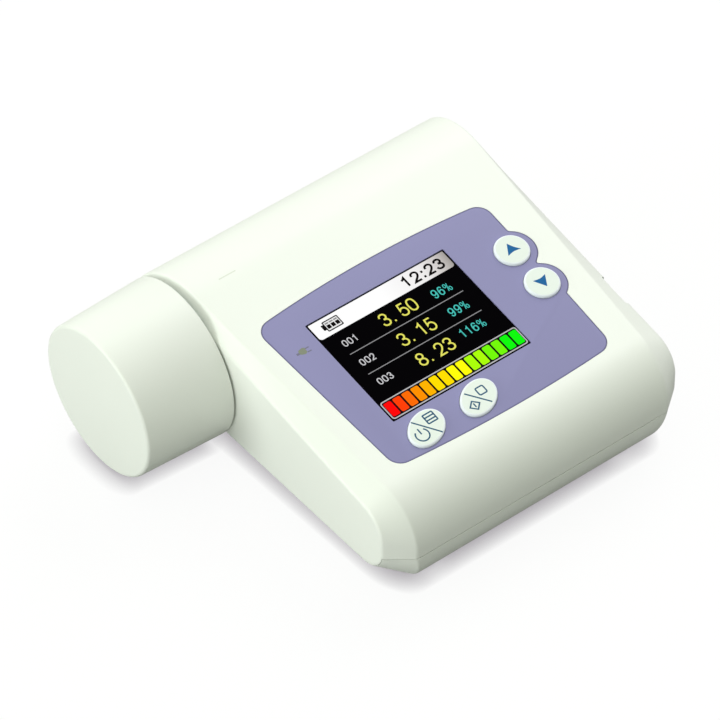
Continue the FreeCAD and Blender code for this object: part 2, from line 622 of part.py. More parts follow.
# Panel film, with a crowned upper edge and two lobes about the arrow buttons
def film(name, grow, thickness):
    sides = doc.addObject("Sketcher::SketchObject", name + "_sides")
    level = "Sizes.overlay_top + Sizes.film_margin"
    foot = "Sizes.overlay_base + Sizes.film_margin"
    left = "Sizes.overlay_left + Layout.film_left_lean * Sizes.film_margin + " + grow
    left_low = "Sizes.overlay_left_low - Layout.film_left_lean * Sizes.film_margin + " + grow
    right = "Sizes.overlay_right + Layout.film_right_lean * Sizes.film_margin + " + grow
    right_low = "Sizes.overlay_right_low - Layout.film_right_lean * Sizes.film_margin + " + grow
    polygon(sides, [("-(%s)" % left, level), (right, level), (right_low, "-(%s)" % foot),
                    ("-(%s)" % left_low, "-(%s)" % foot)])
    sheet_stock = place_on_panel(extrude(name + "_sheet", sides, thickness), z="-Sizes.overlay_depth")
    crown = panel_cylinder(name + "_crown", "Sizes.overlay_crown_radius + " + grow,
                           "(Sizes.overlay_right - Sizes.overlay_left) / 2", "Layout.crown_centre",
                           "Sizes.overlay_depth", thickness)
    foot_curve = panel_cylinder(name + "_foot", "Sizes.overlay_foot_radius + " + grow,
                                "(Sizes.overlay_right_low - Sizes.overlay_left_low) / 2",
                                "Layout.foot_centre", "Sizes.overlay_depth", thickness)
    outline = common(name + "_blank", [sheet_stock, crown, foot_curve])
    doc.recompute()
    normal = vec(0, -size("slope_sin"), size("slope_cos"))
    corners = [index for index, edge in enumerate(outline.Shape.Edges, start=1)
               if abs(edge.tangentAt(edge.FirstParameter).dot(normal)) > 0.99]
    rounded = doc.addObject("Part::Fillet", name + "_rounded")
    rounded.Base = outline
    rounded.Edges = [(index, size("overlay_corner"), size("overlay_corner")) for index in corners]
    lobes = [panel_cylinder("%s_%s_lobe" % (name, lobe), "Sizes.overlay_lobe + " + grow,
                            "Sizes.%s_x + Sizes.lobe_aside" % lobe, "Sizes.%s_y - Sizes.lobe_down" % lobe,
                            "Sizes.overlay_depth", thickness)
             for lobe in ("up", "down")]
    return fuse(name, [rounded] + lobes)


film_stock = film("film_stock", "0", "Sizes.overlay_depth")
film_recess = film("film_recess", "Sizes.trim_gap", "Sizes.overlay_depth + 1")

buttons = [("up_button", "Sizes.up_x", "Sizes.up_y", "arrow"),
           ("down_button", "Sizes.down_x", "Sizes.down_y", "arrow"),
           ("power_button", "Sizes.power_x", "Sizes.power_y", "oval"),
           ("start_button", "Sizes.start_x", "Sizes.start_y", "oval")]
half_sizes = {"arrow": ("Sizes.arrow_button_radius", "Sizes.arrow_button_radius"),
              "oval": ("Sizes.oval_button_long", "Sizes.oval_button_short")}


def button_prism(name, kind, x, y, grow, base, height):
    """Round or tilted oval prism square to the panel, from base to base plus height."""
    long_half, short_half = half_sizes[kind]
    if kind == "arrow":
        prism = add("Part::Cylinder", name, Radius=long_half + " + " + grow, Height=height)
    else:
        ellipse = add("Part::Ellipse", name + "_outline", MajorRadius=long_half + " + " + grow,
                      MinorRadius=short_half + " + " + grow)
        ellipse.Placement.Rotation = FreeCAD.Rotation(vec(0, 0, 1), size("oval_button_tilt"))
        bind(ellipse, Placement__Rotation__Angle="Sizes.oval_button_tilt * 1 deg")
        prism = extrude(name, ellipse, height)
    return place_on_panel(prism, x, y, base)


button_holes = [button_prism(name + "_hole", kind, x, y, "Sizes.running_gap", "-Sizes.board_depth",
                             "Sizes.board_depth + 2") for name, x, y, kind in buttons]


def panel_box(name, width, height, thickness, x, y, base):
    """Box centred on a point of the panel, standing on a level below it."""
    box = add("Part::Box", name, Length=width, Width=height, Height=thickness)
    return place_on_panel(box, "(%s) - (%s) / 2" % (x, width), "(%s) - (%s) / 2" % (y, height), base)


lens_size = ("Sizes.screen_width + 2 * Sizes.screen_border", "Sizes.screen_height + 2 * Sizes.screen_border")
lens_hole = panel_box("lens_hole", lens_size[0] + " + 2 * Sizes.trim_gap",
                      lens_size[1] + " + 2 * Sizes.trim_gap", "Sizes.overlay_depth + 2", "0", "0",
                      "-Sizes.overlay_depth - 0.5")
lamp_hole = panel_cylinder("lamp_hole", "Sizes.lamp_radius + Sizes.trim_gap", "Layout.lamp_x",
                           "Sizes.lamp_y", "Sizes.board_depth", "Sizes.board_depth + 2")
film_holes = fuse("film_holes", [lens_hole, lamp_hole] + button_holes)
panel_overlay = cut("panel_overlay", film_stock, film_holes)

display_window = panel_box("display_window", lens_size[0], lens_size[1], "Sizes.overlay_depth",
                           "0", "0", "-Sizes.overlay_depth")
screen_hole = panel_box("screen_hole", lens_size[0] + " - 2 * Sizes.screen_ledge",
                        lens_size[1] + " - 2 * Sizes.screen_ledge", "Sizes.wall + 4", "0", "0",
                        "-Sizes.wall - 1")
bore = tube_cylinder("bore", "Layout.bore_radius", "Layout.end_left - 1", "Sizes.housing_width + 2")
socket_slot = place_on_panel(
    add("Part::Box", "socket_slot", Length="Sizes.socket_length + 2",
        Width="Sizes.socket_width + 2 * (Sizes.socket_wall + Sizes.socket_play)",
        Height="Sizes.socket_height + 2 * (Sizes.socket_wall + Sizes.socket_play)"),
    "Layout.end_right - Layout.screen_x - Sizes.socket_length",
    "Sizes.socket_y - Sizes.socket_width / 2 - Sizes.socket_wall - Sizes.socket_play",
    "-Sizes.board_depth - Sizes.socket_play")
sleeve_seat = tube_cylinder("sleeve_seat", "Layout.tube_radius - Sizes.wall", "Layout.sleeve_left",
                            "Layout.sleeve_right - Layout.sleeve_left")
pilots = [upright("pilot_" + name, "Sizes.boss_bore", x, y, "Sizes.boss_seat - 1", "Sizes.screw_length - 1")
          for name, x, y in boss_places]
post_pilots = [panel_cylinder("post_pilot_" + name, "Sizes.post_bore", x, y, "Sizes.board_depth + 1",
                              "Sizes.board_depth + 1 - Sizes.pilot_end") for name, x, y in post_places]
upper_cuts = fuse("upper_cuts", [film_recess, screen_hole, lamp_hole, bore, sleeve_seat, socket_slot]
                  + button_holes + pilots + post_pilots)
upper_housing = cut("upper_housing", upper_blank, upper_cuts)

# Lower cover between the end plates, with bosses for the case screws
lower_bosses = [upright("lower_boss_" + name, "Sizes.boss_radius", x, y, "0", "Sizes.boss_seat")
                for name, x, y in boss_places]
lower_stock = common("lower_stock", [outer_form, fuse("lower_rods", lower_bosses)])
lower_blank = fuse("lower_blank", [lower_shell, lower_stock])
screw_holes = [upright("screw_hole_" + name, "Sizes.screw_hole", x, y, "-1", "Sizes.boss_seat + 2")
               for name, x, y in boss_places]
head_pockets = [upright("head_pocket_" + name, "Sizes.screw_head_pocket", x, y, "-1",
                        "Sizes.screw_head_depth + 1") for name, x, y in boss_places]
lower_cuts = fuse("lower_cuts", [plate_room, bore, sleeve_seat] + screw_holes + head_pockets)
lower_cover = cut("lower_cover", lower_blank, lower_cuts)


# Buttons: head with a bevelled top, retaining rim under the wall and a stem down to the switch
def button_top(name, kind, x, y):
    """Bevelled top of a button, from its full outline to one that is smaller all round."""
    long_half, short_half = half_sizes[kind]
    if kind == "arrow":
        top = add("Part::Cone", name, Radius1=long_half, Radius2=long_half + " - Sizes.button_edge",
                  Height="Sizes.button_edge_height")
    else:
        outlines = []
        for level, inset in (("0", "0"), ("Sizes.button_edge_height", "Sizes.button_edge")):
            outline = add("Part::Ellipse", "%s_outline_%d" % (name, len(outlines)),
                          MajorRadius="%s - %s" % (long_half, inset),
                          MinorRadius="%s - %s" % (short_half, inset))
            outline.Placement.Rotation = FreeCAD.Rotation(vec(0, 0, 1), size("oval_button_tilt"))
            bind(outline, Placement__Rotation__Angle="Sizes.oval_button_tilt * 1 deg")
            outlines.append(place(outline, z=level))
        top = loft(name, outlines)
    return place_on_panel(top, x, y, "Sizes.button_rise - Sizes.button_edge_height")


def button(name, x, y, kind):
    head = button_prism(name + "_head", kind, x, y, "0", "-Layout.button_seat",
                        "Layout.button_seat + Sizes.button_rise - Sizes.button_edge_height")
    top = button_top(name + "_top", kind, x, y)
    rim = button_prism(name + "_rim", kind, x, y, "Sizes.button_flange",
                       "-Layout.button_seat - Sizes.button_flange_height", "Sizes.button_flange_height")
    stem = panel_cylinder(name + "_stem", "Sizes.plunger_radius", x, y, "Layout.stem_end",
                          "Layout.stem_end - Layout.button_seat")
    return fuse(name, [head, top, rim, stem])


for name, x, y, kind in buttons:
    button(name, x, y, kind)

# Screen module, main board and what is soldered to it
lcd_module = panel_box("lcd_module", "Layout.module_width", "Sizes.module_top + Sizes.module_base",
                       "Sizes.module_glass", "0", "(Sizes.module_top - Sizes.module_base) / 2",
                       "-Sizes.wall - Sizes.running_gap - Sizes.module_glass")
lcd_frame = panel_box("lcd_frame", "Layout.module_width", "Sizes.module_top + Sizes.module_base",
                      "Sizes.module_frame", "0", "(Sizes.module_top - Sizes.module_base) / 2",
                      "-Sizes.wall - Sizes.running_gap - Sizes.module_glass - Sizes.module_frame")

board_blank = place_on_panel(
    add("Part::Box", "board_blank", Length="Sizes.board_right - Layout.board_left",
        Width="Sizes.board_top - Sizes.board_base", Height="Sizes.board_thickness"),
    "Layout.board_left", "Sizes.board_base", "-Layout.board_base_depth")
board_tab = place_on_panel(
    add("Part::Box", "board_tab", Length="Sizes.board_tab + 1", Width="Sizes.board_tab_width",
        Height="Sizes.board_thickness"),
    "Sizes.board_right - 1", "Sizes.socket_y - Sizes.board_tab_width / 2", "-Layout.board_base_depth")
board_holes = [panel_cylinder("board_hole_" + name, "Sizes.post_bore + Sizes.board_hole_play", x, y,
                              "Layout.board_base_depth + 1", "Sizes.board_thickness + 2")
               for name, x, y in post_places]
main_board = cut("main_board", fuse("board_stock", [board_blank, board_tab]), fuse("board_cuts", board_holes))

switches = []
for name, x, y, kind in buttons:
    base = panel_box(name + "_switch_base", "Sizes.switch_side", "Sizes.switch_side",
                     "Sizes.switch_height", x, y, "-Sizes.board_depth")
    plunger = panel_cylinder(name + "_plunger", "Sizes.plunger_radius", x, y, "Sizes.board_depth",
                             "Sizes.switch_height + Sizes.plunger_rise")
    switches.append(fuse(name + "_switch", [base, plunger]))
tact_switches = group("tact_switches", switches)

charge_led = panel_box("charge_led", "Sizes.lamp_length", "Sizes.lamp_width", "Sizes.lamp_height",
                       "Layout.lamp_x", "Sizes.lamp_y", "-Sizes.board_depth")
pipe_length = "Sizes.board_depth - Sizes.lamp_height"
charge_light_pipe = panel_cylinder("charge_light_pipe", "Sizes.lamp_radius", "Layout.lamp_x", "Sizes.lamp_y",
                                   pipe_length, pipe_length)


def chip(name, length, width):
    """A chip under the main board."""
    height = "Sizes.%s_height" % name
    return panel_box(name, length, width, height, "Sizes.%s_x" % name, "Sizes.%s_y" % name,
                     "-Layout.board_base_depth - " + height)


board_chips = group("board_chips", [chip("processor", "Sizes.processor_side", "Sizes.processor_side"),
                                    chip("memory", "Sizes.memory_length", "Sizes.memory_width"),
                                    chip("regulator", "Sizes.regulator_length", "Sizes.regulator_width")])
buzzer = panel_cylinder("buzzer", "Sizes.buzzer_radius", "Sizes.buzzer_x", "Sizes.buzzer_y",
                        "Layout.board_base_depth + Sizes.buzzer_height", "Sizes.buzzer_height")

socket_shell = place_on_panel(
    add("Part::Box", "socket_shell", Length="Sizes.socket_length",
        Width="Sizes.socket_width + 2 * Sizes.socket_wall",
        Height="Sizes.socket_height + 2 * Sizes.socket_wall"),
    "Layout.end_right - Layout.screen_x - Sizes.socket_recess - Sizes.socket_length",
    "Sizes.socket_y - Sizes.socket_width / 2 - Sizes.socket_wall", "-Sizes.board_depth")
socket_mouth = place_on_panel(
    add("Part::Box", "socket_mouth", Length="Sizes.socket_length", Width="Sizes.socket_width",
        Height="Sizes.socket_height"),
    "Layout.end_right - Layout.screen_x - Sizes.socket_recess - Sizes.socket_length + Sizes.socket_floor",
    "Sizes.socket_y - Sizes.socket_width / 2", "-Sizes.board_depth + Sizes.socket_wall")
charging_socket = cut("charging_socket", socket_shell, socket_mouth)

battery = place(add("Part::Box", "battery", Length="Sizes.battery_length", Width="Sizes.battery_width",
                    Height="Sizes.battery_thickness"),
                "Layout.screen_x + Sizes.battery_x - Sizes.battery_length / 2",
                "Layout.panel_y + Sizes.battery_y - Sizes.battery_width / 2",
                "Sizes.wall")


# Screws: head and shank in one turned piece each
def screw_parts(name, x, y):
    head = upright(name + "_head", "Sizes.screw_head_radius", x, y,
                   "Sizes.screw_head_depth - Sizes.screw_head_height", "Sizes.screw_head_height")
    shank = upright(name + "_shank", "Sizes.boss_bore", x, y, "Sizes.screw_head_depth", "Sizes.screw_length")
    return fuse(name, [head, shank])


case_screws = group("case_screws", [screw_parts("case_screw_" + name, x, y) for name, x, y in boss_places])
small_screws = []
for name, x, y in post_places:
    head = panel_cylinder("board_screw_head_" + name, "Sizes.board_screw_head", x, y,
                          "Layout.board_base_depth + Sizes.board_screw_head_height",
                          "Sizes.board_screw_head_height")
    shank = panel_cylinder("board_screw_shank_" + name, "Sizes.post_bore", x, y, "Layout.board_base_depth",
                           "Layout.board_base_depth - Sizes.pilot_end")
    small_screws.append(fuse("board_screw_" + name, [head, shank]))
board_screws = group("board_screws", small_screws)

# Fixed sleeve that carries the turbine tube, with locating rings and two light ports
ring_radius = "Layout.tube_radius - Sizes.wall - Sizes.sleeve_ring_gap"
sleeve_radius = "Layout.bore_radius + Sizes.sleeve_wall"
ring_width = "Sizes.sleeve_ring_width"
sleeve_body = turned("sleeve_body", [
    ("Layout.sleeve_left", "Layout.bore_radius"),
    ("Layout.sleeve_left", ring_radius),
    ("Layout.sleeve_left + " + ring_width, ring_radius),
    ("Layout.sleeve_left + " + ring_width, sleeve_radius),
    ("Layout.sleeve_right - " + ring_width, sleeve_radius),
    ("Layout.sleeve_right - " + ring_width, ring_radius),
    ("Layout.sleeve_right", ring_radius),
    ("Layout.sleeve_right", "Layout.bore_radius")])
gate_y = "Layout.tube_y - Layout.gate_offset"
boss_reach = "(Layout.gate_reach + Sizes.gate_length - Sizes.gate_stand)"
port_boss = upright("port_boss", "Sizes.gate_radius + Sizes.gate_boss_wall", "Layout.rotor_x", gate_y,
                    "Layout.tube_z - " + boss_reach, "2 * " + boss_reach)
light_port = upright("light_port", "Sizes.gate_radius + Sizes.running_gap", "Layout.rotor_x", gate_y,
                     "0", "Sizes.overall_height")
flow_sleeve = cut("flow_sleeve", fuse("sleeve_blank", [sleeve_body, port_boss]),
                  fuse("sleeve_cuts", [bore, light_port]))
infrared_emitter = upright("infrared_emitter", "Sizes.gate_radius", "Layout.rotor_x", gate_y,
                           "Layout.tube_z + Layout.gate_reach", "Sizes.gate_length")
infrared_receiver = upright("infrared_receiver", "Sizes.gate_radius", "Layout.rotor_x", gate_y,
                            "Layout.tube_z - Layout.gate_reach - Sizes.gate_length", "Sizes.gate_length")

# Turbine tube: mouthpiece socket outside the housing, flow bore inside it
seal_x = "Layout.end_left + Sizes.seal_place"
seal_half = "Sizes.seal_groove_half"
tube_outer = "Layout.bore_radius - Sizes.running_gap"
groove_floor = tube_outer + " - 2 * Sizes.seal_section"
neck_start = "Layout.end_left - Layout.neck_length"
turbine_tube = turned("turbine_tube", [
    (neck_start, "Layout.socket_radius"),
    (neck_start, "Layout.neck_radius"),
    ("Layout.end_left - Sizes.flange_thickness", "Layout.neck_radius"),
    ("Layout.end_left - Sizes.flange_thickness", "Layout.flange_radius"),
    ("Layout.end_left", "Layout.flange_radius"),
    ("Layout.end_left", tube_outer),
    (seal_x + " - " + seal_half, tube_outer),
    (seal_x + " - " + seal_half, groove_floor),
    (seal_x + " + " + seal_half, groove_floor),
    (seal_x + " + " + seal_half, tube_outer),
    ("Layout.end_left + Sizes.turbine_length", tube_outer),
    ("Layout.end_left + Sizes.turbine_length", "Layout.flow_radius"),
    ("Layout.end_left - Sizes.neck_floor", "Layout.flow_radius"),
    ("Layout.end_left - Sizes.neck_floor", "Layout.socket_radius")])

seal_middle = tube_outer + " - Sizes.seal_section"
seal_corners = [("- Sizes.seal_section", "- Sizes.seal_flat"), ("- Sizes.seal_section", "+ Sizes.seal_flat"),
                ("- Sizes.seal_flat", "+ Sizes.seal_section"), ("+ Sizes.seal_flat", "+ Sizes.seal_section"),
                ("+ Sizes.seal_section", "+ Sizes.seal_flat"), ("+ Sizes.seal_section", "- Sizes.seal_flat"),
                ("+ Sizes.seal_flat", "- Sizes.seal_section"), ("- Sizes.seal_flat", "- Sizes.seal_section")]
tube_seal = turned("tube_seal", [(seal_x + x, seal_middle + radius) for x, radius in seal_corners])


# Swirler: hub with a round nose, pitched blades and an outer ring
def swirler(name, start, pitch_sign, nose_sign):
    length = size("swirler_length")
    pitch = math.radians(size("swirler_pitch"))
    rim_radius = size("flow_radius") - size("running_gap")
    inner, outer = size("swirler_hub") - size("blade_root"), rim_radius - size("swirler_rim") / 2
    thickness = size("blade_thickness")
    chord = length / math.cos(pitch) + thickness * math.tan(pitch)
    blade = Part.makeBox(chord, thickness, outer - inner, vec(-chord / 2, -thickness / 2, inner))
    blade.rotate(vec(0, 0, 0), vec(0, 0, 1), pitch_sign * size("swirler_pitch"))
    blade.translate(vec(length / 2, 0, 0))
    blade = blade.common(Part.makeCylinder(outer, length, vec(0, 0, 0), vec(1, 0, 0)))
    hub = Part.makeCylinder(size("swirler_hub"), length, vec(0, 0, 0), vec(1, 0, 0))
    nose_x = 0 if nose_sign < 0 else length
    nose = Part.makeSphere(size("swirler_hub"), vec(nose_x, 0, 0))
    ring = Part.makeCylinder(rim_radius, length, vec(0, 0, 0), vec(1, 0, 0))
    ring = ring.cut(Part.makeCylinder(rim_radius - size("swirler_rim"), length, vec(0, 0, 0), vec(1, 0, 0)))
    pieces = [nose, ring]
    count = int(size("swirler_blades"))
    for index in range(count):
        copy = blade.copy()
        copy.rotate(vec(0, 0, 0), vec(1, 0, 0), 360.0 * index / count)
        pieces.append(copy)
    shape = hub.multiFuse(pieces)
    cup_x = length - size("bearing_length") if nose_sign < 0 else 0
    shape = shape.cut(Part.makeCylinder(size("bearing_radius"), size("bearing_length"), vec(cup_x, 0, 0),
                                        vec(1, 0, 0)))
    result = doc.addObject("Part::Feature", name)
    result.Shape = shape
    return place(result, start, "Layout.tube_y", "Layout.tube_z")


half_gap = "(Sizes.rotor_length / 2 + Sizes.swirler_space)"
inlet_swirler = swirler("inlet_swirler", "Layout.rotor_x - %s - Sizes.swirler_length" % half_gap, 1, -1)
outlet_swirler = swirler("outlet_swirler", "Layout.rotor_x + %s" % half_gap, -1, 1)

# Jewel cups in the two hubs, and the rotor between them
cup_outer = "Sizes.bearing_radius"
cup_bore = "Sizes.shaft_radius + Sizes.running_gap"


def jewel(name, start):
    cup = tube_cylinder(name + "_cup", cup_outer, start, "Sizes.bearing_length")
    hole = tube_cylinder(name + "_hole", cup_bore, start + " - 0.5", "Sizes.bearing_length + 1")
    return cut(name, cup, hole)


jewel_bearings = group("jewel_bearings", [
    jewel("inlet_jewel", "Layout.rotor_x - %s - Sizes.bearing_length" % half_gap),
    jewel("outlet_jewel", "Layout.rotor_x + %s" % half_gap)])
shaft_half = "Sizes.rotor_length / 2 + Sizes.swirler_space + Sizes.bearing_length - Sizes.shaft_end_gap"
rotor_shaft = tube_cylinder("rotor_shaft", "Sizes.shaft_radius", "Layout.rotor_x - (%s)" % shaft_half,
                            "2 * (%s)" % shaft_half)
vane_blank = place(add("Part::Box", "vane_blank", Length="Sizes.rotor_length",
                       Width="2 * Layout.vane_radius", Height="Sizes.vane_thickness"),
                   "Layout.rotor_x - Sizes.rotor_length / 2", "Layout.tube_y - Layout.vane_radius",
                   "Layout.tube_z - Sizes.vane_thickness / 2")
vane_sleeve = tube_cylinder("vane_sleeve", "Sizes.shaft_radius + Sizes.vane_collar",
                            "Layout.rotor_x - Sizes.rotor_length / 2", "Sizes.rotor_length")
rotor_vane = cut("rotor_vane", fuse("vane_body", [vane_blank, vane_sleeve]), rotor_shaft)

# Outlet grille in the right end plate
grille_x = "Layout.end_right - Sizes.grille_thickness"
grille_outer = "Layout.bore_radius - Sizes.running_gap"
grille_rim = cut("grille_rim", tube_cylinder("grille_disc", grille_outer, grille_x, "Sizes.grille_thickness"),
                 tube_cylinder("grille_opening", grille_outer + " - Sizes.grille_rim", grille_x + " - 1",
                               "Sizes.grille_thickness + 2"))
ring_half = "Sizes.grille_ring_width / 2"
ring_disc = tube_cylinder("grille_ring_disc", "Sizes.grille_ring_radius + " + ring_half, grille_x,
                          "Sizes.grille_thickness")
ring_void = tube_cylinder("grille_ring_void", "Sizes.grille_ring_radius - " + ring_half, grille_x + " - 1",
                          "Sizes.grille_thickness + 2")
grille_ring = cut("grille_ring", ring_disc, ring_void)
grille_hub = tube_cylinder("grille_hub", "Sizes.grille_hub", grille_x, "Sizes.grille_thickness")
spokes = []
for index in range(int(size("grille_spokes"))):
    spoke = add("Part::Box", "grille_spoke_%d" % index, Length="Sizes.grille_thickness",
                Width="Sizes.grille_spoke_width", Height=grille_outer + " - Sizes.grille_root")
    turn = 360.0 * index / size("grille_spokes")
    spoke.Placement.Rotation = FreeCAD.Rotation(vec(1, 0, 0), turn)
    offset = "Sizes.grille_spoke_width / 2"
    place(spoke, grille_x, "Layout.tube_y - %s * cos(%g)" % (offset, turn),
          "Layout.tube_z - %s * sin(%g)" % (offset, turn))
    spokes.append(spoke)
exhaust_grille = fuse("exhaust_grille", [grille_rim, grille_ring, grille_hub] + spokes)

# Cap: drafted cup with grip ribs inside, closed at the left
rim_x = "Layout.end_left - Sizes.cap_gap"
end_cap_cup = turned("cap_cup", [
    ("Layout.cap_end", "0"),
    ("Layout.cap_end", "Layout.cap_end_radius"),
    (rim_x, "Layout.cap_rim_radius"),
    (rim_x, "Layout.cap_rim_radius - Sizes.cap_wall"),
    ("Layout.cap_end + Sizes.cap_wall", "Layout.cap_end_radius - Sizes.cap_wall + Sizes.cap_inner_draft"),
    ("Layout.cap_end + Sizes.cap_wall", "0")])
doc.recompute()
closed_end = [index for index, edge in enumerate(end_cap_cup.Shape.Edges, start=1)
              if edge.BoundBox.XMax < size("cap_end") + size("cap_edge")
              and hasattr(edge.Curve, "Radius") and edge.Curve.Radius > size("cap_end_radius") - 0.01]
rounded_cup = doc.addObject("Part::Fillet", "rounded_cup")
rounded_cup.Base = end_cap_cup
rounded_cup.Edges = [(index, size("cap_edge"), size("cap_edge")) for index in closed_end]
rib_stock = []
rib_length = "Layout.neck_length * Sizes.cap_rib_share"
for index in range(int(size("cap_rib_count"))):
    rib = add("Part::Box", "cap_rib_%d" % index, Length=rib_length, Width="Sizes.cap_rib_width",
              Height="Layout.cap_rim_radius - Sizes.cap_rib_root")
    turn = 360.0 * index / size("cap_rib_count")
    rib.Placement.Rotation = FreeCAD.Rotation(vec(1, 0, 0), turn)
    place(rib, rim_x + " - Sizes.cap_rib_start - " + rib_length,
          "Layout.tube_y - Sizes.cap_rib_width / 2 * cos(%g)" % turn,
          "Layout.tube_z - Sizes.cap_rib_width / 2 * sin(%g)" % turn)
    rib_stock.append(rib)
rib_core = tube_cylinder("rib_core", "Layout.neck_radius + Sizes.running_gap", "Layout.cap_end",
                         "Layout.cap_length")
cap_ribs = cut("cap_ribs", fuse("cap_rib_stock", rib_stock), rib_core)
cap_ribs_trimmed = common("cap_ribs_trimmed", [cap_ribs, tube_cylinder(
    "rib_bound", "Layout.cap_end_radius - 0.1", "Layout.cap_end", "Layout.cap_length")])
end_cap = fuse("end_cap", [rounded_cup, cap_ribs_trimmed])

sensor_board = place(
    add("Part::Box", "sensor_board", Length="Sizes.sensor_board_length", Width="Sizes.sensor_board_thickness",
        Height="Sizes.sensor_board_height"),
    "Layout.rotor_x - Sizes.sensor_board_length / 2",
    "Layout.tube_y - (%s) - Sizes.sensor_board_thickness - Sizes.running_gap" % sleeve_radius,
    "Layout.tube_z - Sizes.sensor_board_drop")

doc.recompute()

NODES = ["upper_housing", "lower_cover", "panel_overlay", "display_window", "charge_light_pipe",
         "up_button", "down_button", "power_button", "start_button", "lcd_module", "lcd_frame",
         "main_board", "tact_switches", "charge_led", "board_chips", "buzzer", "charging_socket",
         "battery", "board_screws", "case_screws", "flow_sleeve", "sensor_board", "infrared_emitter",
         "infrared_receiver", "turbine_tube", "tube_seal", "inlet_swirler", "outlet_swirler",
         "jewel_bearings", "rotor_shaft", "rotor_vane", "exhaust_grille", "end_cap"]

for item in doc.Objects:
    if "Invalid" in item.State or "Error" in item.State:
        raise SystemExit("failed object: %s %s" % (item.Name, item.getStatusString()))

os.makedirs("parts", exist_ok=True)
for node in NODES:
    piece = doc.getObjectsByLabel(node)[0]
    shape = piece.Shape
    if shape.isNull() or not shape.isValid():
        raise SystemExit("bad shape: " + node)
    shape.exportStep("parts/%s.step" % node)
    box = shape.BoundBox
    print("%-20s solids %d volume %9.1f  x %.2f..%.2f y %.2f..%.2f z %.2f..%.2f" % (
        node, len(shape.Solids), shape.Volume, box.XMin, box.XMax, box.YMin, box.YMax, box.ZMin, box.ZMax))
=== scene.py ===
import json
import math

import bmesh
import bpy
from mathutils import Matrix, Vector


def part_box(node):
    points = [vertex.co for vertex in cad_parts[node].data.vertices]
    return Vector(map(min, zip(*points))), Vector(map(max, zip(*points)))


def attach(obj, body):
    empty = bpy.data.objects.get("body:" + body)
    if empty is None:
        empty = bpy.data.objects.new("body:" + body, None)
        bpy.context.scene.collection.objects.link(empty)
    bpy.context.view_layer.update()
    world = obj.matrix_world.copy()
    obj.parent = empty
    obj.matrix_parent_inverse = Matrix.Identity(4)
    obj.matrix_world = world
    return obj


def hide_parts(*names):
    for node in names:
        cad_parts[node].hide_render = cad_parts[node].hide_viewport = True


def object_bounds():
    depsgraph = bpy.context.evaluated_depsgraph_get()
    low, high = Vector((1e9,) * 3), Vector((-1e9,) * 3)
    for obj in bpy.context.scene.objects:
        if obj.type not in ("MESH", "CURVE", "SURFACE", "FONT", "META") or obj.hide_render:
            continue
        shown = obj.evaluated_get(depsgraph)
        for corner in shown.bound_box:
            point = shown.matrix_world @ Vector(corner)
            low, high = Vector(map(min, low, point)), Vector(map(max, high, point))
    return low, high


# A handheld spirometer on a pale floor. Lengths are written in millimetres and turned to metres by mm.

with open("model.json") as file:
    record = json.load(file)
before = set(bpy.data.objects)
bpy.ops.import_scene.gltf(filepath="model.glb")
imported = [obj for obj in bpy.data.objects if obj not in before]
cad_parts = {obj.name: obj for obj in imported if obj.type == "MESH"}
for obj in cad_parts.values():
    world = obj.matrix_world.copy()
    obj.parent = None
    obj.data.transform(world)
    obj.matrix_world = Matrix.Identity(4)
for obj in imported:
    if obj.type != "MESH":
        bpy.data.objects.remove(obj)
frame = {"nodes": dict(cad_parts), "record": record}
cadLow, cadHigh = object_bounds()
mm = 0.001
scene = bpy.context.scene
scene.view_settings.view_transform = "Standard"


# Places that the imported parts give
def middleOf(node):
    low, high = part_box(node)
    return (low + high) / (2 * mm)


def spanOf(node):
    low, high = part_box(node)
    return low / mm, high / mm


shellLow, shellHigh = spanOf("upper_housing")
capLow, capHigh = spanOf("end_cap")
sealMiddle = middleOf("tube_seal")
tubeY, tubeZ = sealMiddle.y, sealMiddle.z
endLeft, endRight = shellLow.x, shellHigh.x
capEnd, capRim = capLow.x, capHigh.x
sleeveLow, sleeveHigh = spanOf("flow_sleeve")

panel = {
    "slope": math.radians(10.4),
    "depth": 0.5,            # film and window
    "lean": 0.0145,          # the shown picture and its window lean a little
}
panelUp = Vector((0, math.cos(panel["slope"]), math.sin(panel["slope"])))
panelOut = Vector((0, -math.sin(panel["slope"]), math.cos(panel["slope"])))
panelMiddle = middleOf("display_window") + panelOut * (panel["depth"] / 2)
panelTurn = Matrix((Vector((1, 0, 0)), panelUp, panelOut)).transposed()
panelPlace = Matrix.Translation(panelMiddle) @ panelTurn.to_4x4()
print("places read from the frame")


# Outlines, all in millimetres
def arc(centre, radius, start, stop, steps):
    turns = [start + (stop - start) * step / steps for step in range(steps + 1)]
    return [(centre[0] + radius * math.cos(turn), centre[1] + radius * math.sin(turn)) for turn in turns]


def circle(centre, radius, steps):
    return arc(centre, radius, 0, 2 * math.pi, steps)[:-1]


def rounded(corners, steps=6):
    # corners are (x, y, radius), and the outline is closed
    outline = []
    count = len(corners)
    for index, (x, y, radius) in enumerate(corners):
        here = Vector((x, y))
        if radius <= 0:
            outline.append((x, y))
            continue
        before = Vector(corners[index - 1][:2]) - here
        after = Vector(corners[(index + 1) % count][:2]) - here
        before.normalize()
        after.normalize()
        half = before.angle(after) / 2
        reach = radius / math.tan(half)
        centre = here + (before + after).normalized() * (radius / math.sin(half))
        first = here + before * reach - centre
        last = here + after * reach - centre
        start = math.atan2(first.y, first.x)
        turn = math.atan2(last.y, last.x) - start
        turn = (turn + math.pi) % (2 * math.pi) - math.pi
        outline += arc(centre, radius, start, start + turn, steps)
    return outline


def ellipse(longHalf, shortHalf, tilt, steps=72):
    points = []
    for step in range(steps):
        turn = 2 * math.pi * step / steps
        x, y = longHalf * math.cos(turn), shortHalf * math.sin(turn)
        points.append((x * math.cos(tilt) - y * math.sin(tilt), x * math.sin(tilt) + y * math.cos(tilt)))
    return points


